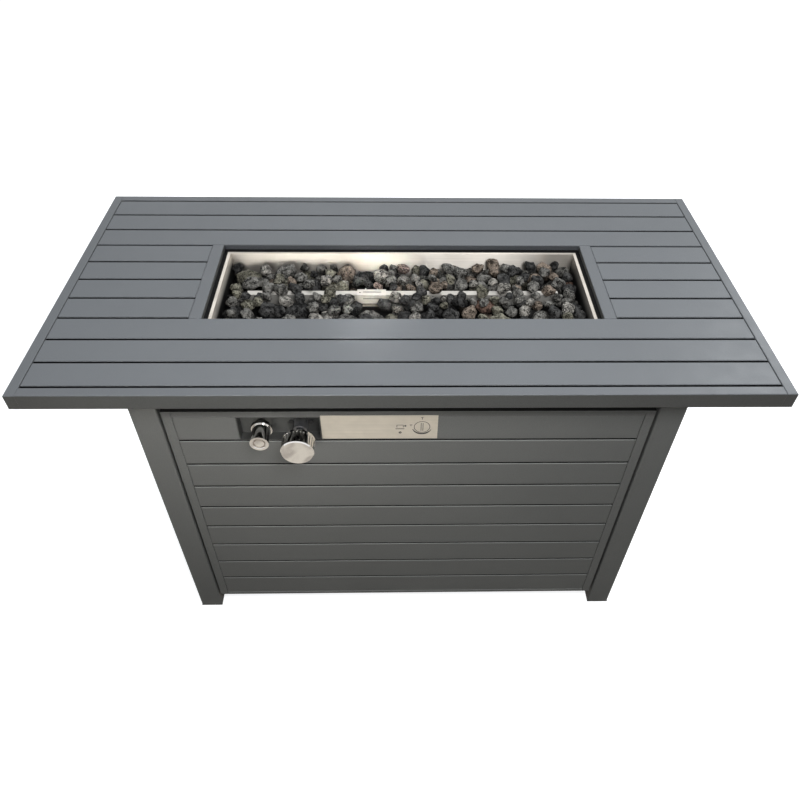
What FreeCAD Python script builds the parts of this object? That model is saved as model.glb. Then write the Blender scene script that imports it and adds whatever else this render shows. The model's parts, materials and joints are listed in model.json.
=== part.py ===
import FreeCAD, Part
import math
import os
import random
from types import SimpleNamespace
from FreeCAD import Placement, Rotation, Vector
import Sketcher

# Driving sizes, in millimetres. X runs along the table, the controls face -Y,
# and the floor is Z = 0 under the middle of the top.
SIZES = {
    "top_length": 1070.0,
    "top_depth": 530.0,
    "overall_height": 630.0,
    "fascia_height": 25.0,
    "side_rail_width": 15.0,
    "end_rail_width": 15.75,
    "rail_sheet": 1.5,
    "top_groove": 3.5,
    "slat_seam": 0.9,
    "slat_depth": 9.0,
    "slat_sheet": 1.2,
    "slat_bevel": 0.8,
    "opening_length": 610.0,
    "strip_width": 19.0,
    "bearer_width": 20.0,
    "bearer_sheet": 1.5,
    "base_length": 813.6,
    "base_overhang": 39.3,
    "base_shift": 8.0,
    "leg_width": 40.0,
    "leg_wall": 1.5,
    "leg_radius": 2.5,
    "glide_height": 4.0,
    "glide_plug": 12.0,
    "glide_clearance": 0.3,
    "glide_bevel": 1.5,
    "tube_width": 20.0,
    "tube_wall": 1.5,
    "lower_rail_height": 45.0,
    "panel_gap": 3.4,
    "door_gap": 4.4,
    "panel_inset": 2.0,
    "panel_bottom": 39.0,
    "panel_drop": 75.0,
    "panel_bar": 15.0,
    "panel_head": 11.5,
    "panel_foot": 8.0,
    "panel_groove": 3.4,
    "panel_seam": 0.5,
    "panel_setback": 3.0,
    "first_slat_height": 49.5,
    "angle_height": 25.0,
    "angle_wide": 20.0,
    "angle_narrow": 14.0,
    "control_left": -256.5,
    "control_length": 123.5,
    "control_recess": 15.0,
    "igniter_place": -220.5,
    "igniter_radius": 12.0,
    "igniter_length": 56.0,
    "igniter_nut_radius": 17.0,
    "igniter_nut_height": 6.0,
    "knob_place": -163.5,
    "sign_gap": 1.0,
    "sign_length": 173.5,
    "sign_height": 50.0,
    "sign_drop": 7.6,
    "sign_sheet": 0.8,
    "ledge_sheet": 2.0,
    "ledge_drop": 2.5,
    "ledge_cover": 8.0,
    "pan_clearance": 3.0,
    "pan_flange": 7.0,
    "pan_sheet": 1.0,
    "pan_depth": 50.0,
    "burner_length": 510.0,
    "burner_width": 11.0,
    "burner_height": 20.0,
    "burner_rise": 14.0,
    "burner_sheet": 1.2,
    "port_pitch": 48.5,
    "port_radius": 1.3,
    "port_drop": 4.0,
    "burner_inlet_radius": 4.0,
    "foot_inset": 40.0,
    "foot_reach": 14.0,
    "guard_place": -52.0,
    "guard_length": 47.0,
    "guard_depth": 16.0,
    "guard_drop": 17.0,
    "guard_slot_length": 30.0,
    "guard_slot_width": 2.0,
    "guard_slot_drop": 5.5,
    "guard_slot_shift": 1.0,
    "guard_screw_place": -19.0,
    "guard_screw_radius": 1.5,
    "electrode_spacing": 20.0,
    "electrode_setback": 13.0,
    "electrode_tail": 12.0,
    "spark_radius": 3.5,
    "sensor_radius": 2.5,
    "spark_bare": 9.0,
    "sensor_bare": 4.0,
    "probe_radius": 1.0,
    "probe_drop": 1.0,
    "pilot_bracket_rise": 8.0,
    "pilot_bracket_depth": 12.0,
    "pilot_bracket_length": 40.0,
    "pilot_room": 16.0,
    "mixer_radius": 10.0,
    "mixer_sheet": 1.5,
    "mixer_drop": 20.0,
    "mixer_lip": 5.0,
    "mixer_lip_sheet": 3.0,
    "vent_width": 8.0,
    "vent_height": 6.0,
    "mixer_nut_radius": 17.0,
    "mixer_nut_height": 5.0,
    "spud_radius": 5.1,
    "spud_length": 6.0,
    "elbow_radius": 9.0,
    "elbow_reach": 16.0,
    "drain_radius": 4.0,
    "drain_inset": 30.0,
    "feed_radius": 5.0,
    "feed_bend": 40.0,
    "igniter_lead_radius": 2.5,
    "igniter_lead_drop": 70.0,
    "sensor_lead_radius": 1.5,
    "sensor_lead_drop": 60.0,
    "lead_bend": 12.0,
    "lead_turn": 30.0,
    "shield_gap": 15.0,
    "shield_sheet": 1.0,
    "shield_margin": 4.0,
    "nut_clearance": 1.0,
    "lead_hole_near": 8.0,
    "lead_hole_far": 20.0,
    "shield_vent_place": 240.0,
    "shield_vent_length": 120.0,
    "shield_vent_width": 8.0,
    "shield_vent_pitch": 40.0,
    "floor_sheet": 1.2,
    "tank_place": 197.0,
    "tank_ring_radius": 105.0,
    "tank_collar_height": 12.0,
    "floor_vent_place": 300.0,
    "floor_vent_length": 100.0,
    "floor_vent_width": 12.0,
    "floor_vent_pitch": 36.0,
    "knob_radius": 24.5,
    "knob_length": 24.0,
    "knob_standoff": 39.0,
    "knob_bevel": 1.5,
    "knob_wall": 3.0,
    "knob_recess": 10.0,
    "flute_length": 18.4,
    "flute_inset": 2.0,
    "flute_width": 2.6,
    "flute_depth": 0.9,
    "button_radius": 14.0,
    "button_reach": 45.3,
    "button_wall": 2.0,
    "button_face": 5.0,
    "button_rim": 4.6,
    "button_dish": 0.8,
    "button_stroke": 6.0,
    "bezel_radius": 16.7,
    "bezel_length": 17.6,
    "bezel_lip": 6.0,
    "bezel_step": 1.7,
    "bezel_bevel": 1.0,
    "stem_radius": 4.0,
    "stem_clearance": 0.05,
    "stem_hold": 18.0,
    "stem_depth": 12.0,
    "collar_radius": 7.0,
    "collar_length": 6.0,
    "push_room": 6.0,
    "valve_neck_radius": 10.0,
    "valve_neck_reach": 19.0,
    "valve_radius": 17.0,
    "valve_length": 34.0,
    "valve_bore_depth": 16.0,
    "outlet_radius": 8.0,
    "outlet_length": 18.0,
    "valve_port_place": 20.0,
    "valve_port_width": 20.0,
    "valve_port_drop": 24.0,
    "ear_length": 42.0,
    "ear_height": 16.0,
    "ear_sheet": 4.0,
    "screw_spacing": 30.0,
    "screw_radius": 2.0,
    "screw_clearance": 0.2,
    "screw_head_radius": 3.8,
    "screw_head_height": 2.2,
    "screw_length": 8.2,
    "inlet_nut_radius": 11.0,
    "inlet_nut_height": 10.0,
    "inlet_radius": 7.94,
    "inlet_length": 16.0,
    "inlet_bore_radius": 3.0,
    "pivot_radius": 3.0,
    "pivot_setback": 6.5,
    "pivot_disc_radius": 5.5,
    "pivot_disc_height": 2.0,
    "pivot_plate": 4.0,
    "pivot_plate_width": 14.0,
    "pivot_plate_reach": 8.0,
    "pivot_flange": 18.0,
    "pivot_flange_sheet": 3.0,
    "pin_tip": 3.0,
    "striker_sheet": 1.2,
    "striker_height": 44.0,
    "catch_height": 40.0,
    "catch_depth": 15.0,
    "catch_width": 14.0,
    "catch_bevel": 1.0,
    "pull_radius": 7.0,
    "pull_neck_radius": 5.0,
    "pull_length": 17.0,
    "pull_grip": 5.0,
    "pull_flare": 3.0,
    "stone_size": 33.0,
    "stone_gap": 0.3,
    "stone_freeboard": 8.0,
    "running_gap": 0.3,
}
TOP_SLATS = 10
PANEL_SLATS = 9
STONE_TRIES = 190
PLACES_TRIED = 40
KNOB_FLUTES = 30
BURNER_PORTS = 11
SHIELD_VENTS = 3
FLOOR_VENTS = 7
DROP_HEIGHT = 300


class Size:
    """A length together with the formula that ties it to the sheet of sizes."""

    def __init__(self, value, formula):
        self.value = value
        self.formula = formula

    def __add__(self, other):
        other = as_size(other)
        return Size(self.value + other.value, f"({self.formula} + {other.formula})")

    def __sub__(self, other):
        other = as_size(other)
        return Size(self.value - other.value, f"({self.formula} - {other.formula})")

    def __mul__(self, other):
        other = as_size(other)
        return Size(self.value * other.value, f"({self.formula} * {other.formula})")

    def __truediv__(self, other):
        other = as_size(other)
        return Size(self.value / other.value, f"({self.formula} / {other.formula})")

    def __neg__(self):
        return as_size(0) - self

    def __radd__(self, other):
        return as_size(other) + self

    def __rsub__(self, other):
        return as_size(other) - self

    def __rmul__(self, other):
        return as_size(other) * self


def as_size(number):
    return number if isinstance(number, Size) else Size(float(number), repr(float(number)))


doc = FreeCAD.newDocument("fire_pit_table")
sheet = doc.addObject("Spreadsheet::Sheet", "sizes")
for row, (alias, number) in enumerate(SIZES.items(), start=1):
    sheet.set(f"A{row}", alias)
    sheet.set(f"B{row}", str(number))
    sheet.setAlias(f"B{row}", alias)
doc.recompute()
d = SimpleNamespace(**{alias: Size(float(sheet.get(alias)), f"sizes.{alias}") for alias in SIZES})
ZERO = as_size(0)
nodes = []


# Helpers for sketches and features


def bind(thing, name, value):
    """Tie one property of a document object to a formula."""
    thing.setExpression(name, as_size(value).formula)


def place(thing, x=0, y=0, z=0, turn=None):
    """Move a sub-part to its place; turn is an optional (axis, degrees)."""
    if turn:
        thing.Placement = Placement(Vector(), Rotation(Vector(*turn[0]), turn[1]))
    for letter, value in zip("xyz", (x, y, z)):
        bind(thing, f"Placement.Base.{letter}", value)
    return thing


def node(thing):
    """Keep a finished object as a sub-part that gets a file of its own."""
    nodes.append(thing)
    return thing


def new_body(label):
    body = doc.addObject("PartDesign::Body", label)
    body.Label = label
    return body


def origin_feature(body, role):
    return next(f for f in body.Origin.OriginFeatures if f.Role == role)


def new_sketch(body, role, lift=None):
    sketch = body.newObject("Sketcher::SketchObject", f"{body.Name}_sketch")
    sketch.AttachmentSupport = [(origin_feature(body, role), "")]
    sketch.MapMode = "FlatFace"
    if lift is not None:
        bind(sketch, "AttachmentOffset.Base.z", lift)
    return sketch


def fix_point(sketch, index, point, x, y):
    for kind, value in (("DistanceX", x), ("DistanceY", y)):
        number = sketch.addConstraint(Sketcher.Constraint(kind, index, point, value.value))
        sketch.setExpression(f"Constraints[{number}]", value.formula)


def add_polygon(sketch, points):
    """Closed outline through points, each held by its own two distances."""
    points = [(as_size(x), as_size(y)) for x, y in points]
    first = sketch.GeometryCount
    corners = [Vector(x.value, y.value, 0) for x, y in points]
    for start, end in zip(corners, corners[1:] + corners[:1]):
        sketch.addGeometry(Part.LineSegment(start, end), False)
    count = len(points)
    for i in range(count):
        sketch.addConstraint(Sketcher.Constraint("Coincident", first + i, 2, first + (i + 1) % count, 1))
    for i, (x, y) in enumerate(points):
        fix_point(sketch, first + i, 1, x, y)
    return sketch


def add_rectangle(sketch, x0, y0, x1, y1):
    return add_polygon(sketch, [(x0, y0), (x1, y0), (x1, y1), (x0, y1)])


def add_circle(sketch, x, y, radius):
    x, y, radius = as_size(x), as_size(y), as_size(radius)
    circle = Part.Circle(Vector(x.value, y.value, 0), Vector(0, 0, 1), radius.value)
    index = sketch.addGeometry(circle, False)
    fix_point(sketch, index, 3, x, y)
    number = sketch.addConstraint(Sketcher.Constraint("Radius", index, radius.value))
    sketch.setExpression(f"Constraints[{number}]", radius.formula)
    return sketch


def pad(body, sketch, length, reverse=False, both=False):
    feature = body.newObject("PartDesign::Pad", f"{body.Name}_pad")
    feature.Profile = sketch
    feature.Reversed = reverse
    feature.SideType = "Symmetric" if both else "One side"
    bind(feature, "Length", length)
    body.Tip = feature
    return feature


def pocket(body, sketch, length=None, reverse=False, both=False):
    """Cut a sketch out of a body, and make sure that the cut meets material."""
    doc.recompute()
    before = body.Shape.Volume
    feature = body.newObject("PartDesign::Pocket", f"{body.Name}_pocket")
    feature.Profile = sketch
    feature.Reversed = reverse
    feature.SideType = "Symmetric" if both else "One side"
    if length is None:
        feature.Type = "ThroughAll"
    else:
        bind(feature, "Length", length)
    body.Tip = feature
    doc.recompute()
    if not body.Shape.Volume < before:
        raise RuntimeError(f"{body.Label}: a cut meets no material")
    return feature


def revolve(body, sketch):
    feature = body.newObject("PartDesign::Revolution", f"{body.Name}_revolution")
    feature.Profile = sketch
    feature.ReferenceAxis = (sketch, ["V_Axis"])
    feature.Angle = 360
    body.Tip = feature
    return feature


def row_of(body, features, axis, step, count):
    """Repeat features of a body along one of its axes."""
    feature = body.newObject("PartDesign::LinearPattern", f"{body.Name}_row")
    feature.Originals = features
    feature.Direction = (origin_feature(body, axis), [""])
    feature.Mode = "Spacing"
    feature.Occurrences = count
    bind(feature, "Offset", step)
    body.Tip = feature
    return feature


def edges_where(shape, test):
    return [f"Edge{i}" for i, edge in enumerate(shape.Edges, start=1) if test(edge)]


def bevel(body, size, test):
    doc.recompute()
    base = body.Tip
    feature = body.newObject("PartDesign::Chamfer", f"{body.Name}_bevel")
    feature.Base = (base, edges_where(base.Shape, test))
    bind(feature, "Size", size)
    body.Tip = feature
    return feature


def round_edges(body, radius, test):
    doc.recompute()
    base = body.Tip
    feature = body.newObject("PartDesign::Fillet", f"{body.Name}_round")
    feature.Base = (base, edges_where(base.Shape, test))
    bind(feature, "Radius", radius)
    body.Tip = feature
    return feature


def group(label, members):
    """Several separate solids that share one sub-part."""
    compound = doc.addObject("Part::Compound", label)
    compound.Label = label
    compound.Links = members
    return compound


def tray(label, length, width, depth, gauge, edge):
    """Folded sheet cover, centred on X, from Y = 0, closed at Z = depth and open below."""
    length, width, depth, gauge = (as_size(v) for v in (length, width, depth, gauge))
    body = new_body(label)
    outer = add_rectangle(new_sketch(body, "XY_Plane"), -length / 2, 0, length / 2, width)
    pad(body, outer, depth)
    top = depth.value
    bevel(body, edge, lambda e: all(abs(v.Z - top) < 1e-6 for v in e.Vertexes))
    inner = add_rectangle(new_sketch(body, "XY_Plane"), gauge - length / 2, gauge,
                          length / 2 - gauge, width - gauge)
    pocket(body, inner, depth - gauge, reverse=True)
    return body


def square_tube(label, length, width, wall):
    """Square tube along X, centred on X and Y, from Z = 0 up."""
    body = new_body(label)
    section = new_sketch(body, "YZ_Plane")
    add_rectangle(section, -width / 2, 0, width / 2, width)
    add_rectangle(section, wall - width / 2, wall, width / 2 - wall, width - wall)
    pad(body, section, length, both=True)
    return body


def corners_on_circle(count, radius, x=0, y=0, turn=0.0):
    """Corners of an even polygon, such as a nut, that lie on a circle about (x, y)."""
    angles = [2 * math.pi * k / count + math.radians(turn) for k in range(count)]
    return [(x + radius * math.cos(a), y + radius * math.sin(a)) for a in angles]


# Heights and places that several pieces share

under_top = d.overall_height - d.fascia_height
slat_underside = d.overall_height - d.slat_depth
slat_span = d.top_depth - 2 * d.end_rail_width - (TOP_SLATS + 1) * d.top_groove
slat_width = slat_span / TOP_SLATS
slat_pitch = slat_width + d.top_groove
first_slat = d.end_rail_width + d.top_groove - d.top_depth / 2
inner_half = d.top_length / 2 - d.side_rail_width
opening_half_depth = 2 * slat_width + 2.5 * d.top_groove
opening_half = d.opening_length / 2
bearer_height = slat_underside - under_top

pan_half = opening_half - d.pan_clearance - d.pan_flange
pan_half_depth = opening_half_depth - d.pan_clearance - d.pan_flange
ledge_top = slat_underside - d.ledge_drop
pan_rim = ledge_top + d.pan_sheet
pan_floor = pan_rim - d.pan_depth
pan_under = pan_floor - d.pan_sheet
burner_under = pan_floor + d.burner_rise
burner_top = burner_under + d.burner_height
shield_under = pan_under - d.shield_gap - d.shield_sheet

base_depth = d.top_depth - 2 * d.base_overhang
panel_top = d.overall_height - d.panel_drop
panel_depth = d.panel_bar
panel_clear = panel_top - d.panel_bottom - d.panel_head - d.panel_foot
slat_clear = panel_clear - d.first_slat_height - (PANEL_SLATS - 1) * d.panel_groove
panel_slat = slat_clear / (PANEL_SLATS - 1)
front_length = d.base_length - 2 * d.leg_width - 2 * d.panel_gap
side_length = base_depth - 2 * d.leg_width - 2 * d.door_gap
front_face = -base_depth / 2 + d.panel_inset
side_face = d.base_length / 2 - d.panel_inset
rail_centre = d.panel_inset + d.panel_bar + d.panel_setback + d.tube_width / 2
lower_rail_top = d.lower_rail_height + d.tube_width
control_height = panel_top - d.panel_head - d.first_slat_height / 2
sign_bottom = panel_top - d.sign_drop - d.sign_height
plate_front = front_face + d.panel_seam + d.control_recess
igniter_x = d.base_shift + d.igniter_place
knob_x = d.base_shift + d.knob_place
screw_hole = d.screw_radius + d.screw_clearance
valve_back = plate_front + d.slat_sheet + d.valve_length + d.outlet_length
igniter_back = plate_front + d.slat_sheet + d.igniter_length
spark_x = d.guard_place - d.electrode_spacing / 2
sensor_x = d.guard_place + d.electrode_spacing / 2
electrode_low = pan_under - d.electrode_tail


# Tabletop


def make_top_rails():
    for name, side in (("left", -1), ("right", 1)):
        rail = tray(f"top_rail_{name}", d.top_depth, d.side_rail_width, d.fascia_height,
                    d.rail_sheet, d.slat_bevel)
        start = side * (d.top_length - d.side_rail_width) / 2 + d.side_rail_width / 2
        node(place(rail, start, 0, under_top, ((0, 0, 1), 90)))
    for name, start in (("front", -d.top_depth / 2), ("back", d.top_depth / 2 - d.end_rail_width)):
        rail = tray(f"top_rail_{name}", 2 * inner_half, d.end_rail_width, d.fascia_height,
                    d.rail_sheet, d.slat_bevel)
        node(place(rail, 0, start, under_top))


def make_long_slats():
    for name, steps in (("front", (0, 1, 2)), ("back", (7, 8, 9))):
        slats = []
        for step in steps:
            slat = tray(f"long_slat_{step}", 2 * inner_half - 2 * d.slat_seam, slat_width,
                        d.slat_depth, d.slat_sheet, d.slat_bevel)
            slats.append(place(slat, 0, first_slat + step * slat_pitch, slat_underside))
        node(group(f"long_slats_{name}", slats))


def make_short_slats():
    start = opening_half + d.strip_width
    length = inner_half - d.slat_seam - start
    slats = []
    strips = []
    for name, side in (("left", -1), ("right", 1)):
        for step in (3, 4, 5, 6):
            slat = tray(f"short_slat_{name}_{step}", length, slat_width, d.slat_depth,
                        d.slat_sheet, d.slat_bevel)
            slats.append(place(slat, side * (start + length / 2), first_slat + step * slat_pitch,
                               slat_underside))
        strip = tray(f"opening_strip_{name}", 2 * opening_half_depth, d.strip_width, d.slat_depth,
                     d.slat_sheet, d.slat_bevel)
        edge = side * (opening_half + d.strip_width / 2) + d.strip_width / 2
        strips.append(place(strip, edge, 0, slat_underside, ((0, 0, 1), 90)))
    node(group("short_slats", slats))
    node(group("opening_strips", strips))


def make_bearers():
    """Cross channels that the slats are welded to, resting on the base."""
    length = d.top_depth - 2 * d.end_rail_width
    leg_line = (d.base_length - d.leg_width) / 2
    inner_line = opening_half + d.strip_width / 2 + d.bearer_width / 4
    outer_line = inner_half - d.bearer_width / 2
    places = [-outer_line, d.base_shift - leg_line, -inner_line,
              inner_line, d.base_shift + leg_line, outer_line]
    bars = []
    for number, x in enumerate(places, start=1):
        bar = tray(f"bearer_{number}", length, d.bearer_width, bearer_height, d.bearer_sheet,
                   d.slat_bevel)
        bars.append(place(bar, x + d.bearer_width / 2, 0, under_top, ((0, 0, 1), 90)))
    node(group("top_bearers", bars))


def make_ledge():
    """Four angle bars under the rim of the opening, which carry the burner pan."""
    lip = d.ledge_drop
    thick = d.ledge_sheet
    reach = d.ledge_cover + thick
    profile = [(0, 0), (reach, 0), (reach, -thick), (-thick, -thick), (-thick, lip), (0, lip)]
    bars = []
    for name, turn, x, y, length in (
            ("front", 0, 0, -opening_half_depth, 2 * opening_half),
            ("back", 180, 0, opening_half_depth, 2 * opening_half),
            ("left", -90, -opening_half, 0, 2 * opening_half_depth - 2 * reach),
            ("right", 90, opening_half, 0, 2 * opening_half_depth - 2 * reach)):
        body = new_body(f"ledge_{name}")
        sketch = add_polygon(new_sketch(body, "YZ_Plane"), profile)
        pad(body, sketch, length, both=True)
        bars.append(place(body, x, y, ledge_top, ((0, 0, 1), turn)))
    node(group("opening_ledge", bars))


# Base


def make_legs():
    height = under_top - d.glide_height
    glides = []
    for end, y_side in (("front", -1), ("back", 1)):
        for name, x_side in (("left", -1), ("right", 1)):
            x = d.base_shift + x_side * (d.base_length - d.leg_width) / 2
            y = y_side * (base_depth - d.leg_width) / 2
            half = d.leg_width / 2
            body = new_body(f"leg_{end}_{name}")
            pad(body, add_rectangle(new_sketch(body, "XY_Plane"), -half, -half, half, half), height)
            round_edges(body, d.leg_radius,
                        lambda e: abs(e.Vertexes[0].Z - e.Vertexes[-1].Z) > 1)
            inner = half - d.leg_wall
            pocket(body, add_rectangle(new_sketch(body, "XY_Plane"), -inner, -inner, inner, inner),
                   height, reverse=True)
            node(place(body, x, y, d.glide_height))
            glides.append(place(make_glide(f"glide_{end}_{name}"), x, y, 0))
    node(group("foot_glides", glides))


def make_glide(label):
    """Plastic foot with a plug that fits inside the leg."""
    body = new_body(label)
    half = d.leg_width / 2
    pad(body, add_rectangle(new_sketch(body, "XY_Plane"), -half, -half, half, half), d.glide_height)
    bevel(body, d.glide_bevel, lambda e: all(abs(v.Z) < 1e-6 for v in e.Vertexes))
    plug = half - d.leg_wall - d.glide_clearance
    pad(body, add_rectangle(new_sketch(body, "XY_Plane", d.glide_height), -plug, -plug, plug, plug),
        d.glide_plug)
    return body


def make_base_rails():
    """Square tubes between the legs, one set under the top and one above the floor."""
    long_span = d.base_length - 2 * d.leg_width
    short_span = base_depth - 2 * d.leg_width
    half_depth = base_depth / 2 - rail_centre
    half_length = d.base_length / 2 - rail_centre
    for level, z in (("upper", under_top - d.tube_width), ("lower", d.lower_rail_height)):
        bars = []
        for name, side in (("front", -1), ("back", 1)):
            bar = square_tube(f"{level}_rail_{name}", long_span, d.tube_width, d.tube_wall)
            bars.append(place(bar, d.base_shift, side * half_depth, z))
        for name, side in (("left", -1), ("right", 1)):
            bar = square_tube(f"{level}_rail_{name}", short_span, d.tube_width, d.tube_wall)
            bars.append(place(bar, d.base_shift + side * half_length, 0, z, ((0, 0, 1), 90)))
        node(group(f"{level}_rails", bars))


# Panels. Each is modelled facing -Y with its face at Y = 0, then turned to its side.


def upright(thing, x, face, z):
    """Stand a tray on its edge so that its closed side looks along -Y."""
    return place(thing, x, face, z, ((1, 0, 0), 90))


def make_frame_bars(name, length):
    height = panel_top - d.panel_bottom
    bars = []
    for level, z, wide in (("bottom", d.panel_bottom, d.panel_foot),
                           ("top", panel_top - d.panel_head, d.panel_head)):
        bar = tray(f"{name}_{level}_bar", length - 2 * d.panel_bar, wide, panel_depth, d.rail_sheet,
                   d.slat_bevel)
        bars.append(upright(bar, 0, panel_depth, z))
    for level, side in (("left", -1), ("right", 1)):
        bar = tray(f"{name}_{level}_stile", height, d.panel_bar, panel_depth, d.rail_sheet,
                   d.slat_bevel)
        bar.Placement = Placement(Vector(), Rotation(Vector(0, 0, 1), Vector(-1, 0, 0),
                                                     Vector(0, -1, 0), "ZXY"))
        middle = (panel_top + d.panel_bottom) / 2
        edge = side * (length - d.panel_bar) / 2 + d.panel_bar / 2
        bars.append(place(bar, edge, panel_depth, middle))
    return bars


def slat_heights():
    """Lower edge and height of each panel slat, from the top down."""
    top = panel_top - d.panel_head
    heights = [(top - d.first_slat_height, d.first_slat_height)]
    for step in range(1, PANEL_SLATS):
        low = top - d.first_slat_height - step * (d.panel_groove + panel_slat)
        heights.append((low, panel_slat))
    return heights


def make_slat(label, low, height, left, right):
    slat = tray(label, right - left, height, d.slat_depth, d.slat_sheet, d.slat_bevel)
    return upright(slat, (left + right) / 2, d.slat_depth + d.panel_seam, low)


def make_panel_slats(name, length, heights):
    reach = length / 2 - d.panel_bar
    return [make_slat(f"{name}_slat_{number}", low, height, -reach, reach)
            for number, (low, height) in enumerate(heights, start=1)]


def make_bracket(label):
    """Angle that ties a panel to the side of a leg, modelled for the right end."""
    body = new_body(label)
    thick = d.ledge_sheet
    wide = d.angle_wide
    end = -thick - d.angle_narrow
    profile = [(0, 0), (0, wide), (-thick, wide), (-thick, thick), (end, thick), (end, 0)]
    pad(body, add_polygon(new_sketch(body, "XY_Plane"), profile), d.angle_height)
    return body


def make_panel_brackets(name, length, gap):
    brackets = []
    end = length / 2 + gap
    high = panel_top - 2 * d.panel_bar - d.angle_height
    low = lower_rail_top + d.panel_bar
    for level, z in (("high", high), ("low", low)):
        right = make_bracket(f"{name}_{level}_bracket_right")
        brackets.append(place(right, end, panel_depth, z))
        left = make_bracket(f"{name}_{level}_bracket_left")
        left.Placement = Placement(Vector(), Rotation(Vector(0, 1, 0), 180))
        brackets.append(place(left, -end, panel_depth, z + d.angle_height))
    return brackets


def make_panels():
    sides = (("front", front_length, 0, d.base_shift, front_face),
             ("back", front_length, 180, d.base_shift, -front_face),
             ("left", side_length, -90, d.base_shift - side_face, ZERO),
             ("door", side_length, 90, d.base_shift + side_face, ZERO))
    brackets = []
    for name, length, turn, x, y in sides:
        frame = group(f"{name}_frame", make_frame_bars(name, length))
        heights = slat_heights()
        if name == "front":
            heights = heights[1:]
        slats = group(f"{name}_slats", make_panel_slats(name, length, heights))
        parts = [frame, slats]
        if name == "front":
            parts.append(group("upper_slats", make_upper_slats(length)))
        for part in parts:
            node(part)
        if name != "door":
            gap = d.door_gap if name == "left" else d.panel_gap
            brackets.append(group(f"{name}_brackets", make_panel_brackets(name, length, gap)))
            parts = parts + brackets[-1:]
        for part in parts:
            place(part, x, y, 0, ((0, 0, 1), turn))
    node(group("panel_brackets", brackets))


# Controls in the upper slat of the front panel


def make_upper_slats(length):
    """The upper slat of the front panel, in two pieces beside the control box."""
    low, height = slat_heights()[0]
    reach = length / 2 - d.panel_bar
    left = d.control_left
    right = left + d.control_length
    return [make_slat("upper_slat_left", low, height, -reach, left),
            make_slat("upper_slat_right", low, height, right, reach)]


def make_control_box():
    """Recessed box between the upper slats, with holes for the igniter and the valve."""
    low, height = slat_heights()[0]
    left = d.control_left
    right = left + d.control_length
    gap = d.running_gap
    gauge = d.slat_sheet
    body = new_body("control_box")
    outer = add_rectangle(new_sketch(body, "XZ_Plane"), left + gap, low, right - gap, low + height)
    pad(body, outer, d.control_recess + gauge, reverse=True)
    inner = add_rectangle(new_sketch(body, "XZ_Plane"), left + gap + gauge, low + gauge,
                          right - gap - gauge, low + height - gauge)
    pocket(body, inner, d.control_recess, reverse=False)
    holes = new_sketch(body, "XZ_Plane")
    add_circle(holes, d.igniter_place, control_height, d.igniter_radius + gap)
    add_circle(holes, d.knob_place, control_height, d.valve_neck_radius + gap)
    for side in (-1, 1):
        add_circle(holes, d.knob_place + side * d.screw_spacing / 2, control_height, screw_hole)
    pocket(body, holes)
    node(place(body, d.base_shift, front_face + d.panel_seam, 0))


def make_sign():
    """Bare metal plate beside the controls."""
    body = new_body("sign_plate")
    start = d.control_left + d.control_length + d.sign_gap
    outline = add_rectangle(new_sketch(body, "XZ_Plane"), start, sign_bottom,
                            start + d.sign_length, sign_bottom + d.sign_height)
    pad(body, outline, d.sign_sheet)
    node(place(body, d.base_shift, front_face, 0))


def turned(label, profile, plane="XY_Plane"):
    """A piece turned about its axis: radius against place along the axis."""
    body = new_body(label)
    revolve(body, add_polygon(new_sketch(body, plane), profile))
    return body


def make_knob():
    """Round chrome knob: a cup with a fluted grip and a blind bore for the stem."""
    back = -d.knob_standoff
    front = back - d.knob_length
    bore = d.stem_radius + d.stem_clearance
    rim = d.knob_radius
    wall = rim - d.knob_wall
    bevel_size = d.knob_bevel
    bore_end = back - d.knob_recess - d.stem_hold / 2
    profile = [(0, front), (rim - bevel_size, front), (rim, front + bevel_size), (rim, back),
               (wall, back), (wall, back - d.knob_recess), (bore, back - d.knob_recess),
               (bore, bore_end), (0, bore_end)]
    body = turned("control_knob", profile)
    doc.recompute()
    flute = new_sketch(body, "XZ_Plane", -front - d.flute_inset - d.flute_length)
    add_polygon(flute, [(-d.flute_width / 2, rim + d.flute_depth), (0, rim - d.flute_depth),
                        (d.flute_width / 2, rim + d.flute_depth)])
    cut = pocket(body, flute, d.flute_length, reverse=True)
    ring = body.newObject("PartDesign::PolarPattern", "knob_flutes")
    ring.Originals = [cut]
    ring.Axis = (origin_feature(body, "Y_Axis"), [""])
    ring.Angle = 360
    ring.Occurrences = KNOB_FLUTES
    body.Tip = ring
    node(place(body, knob_x, plate_front, control_height))


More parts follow.
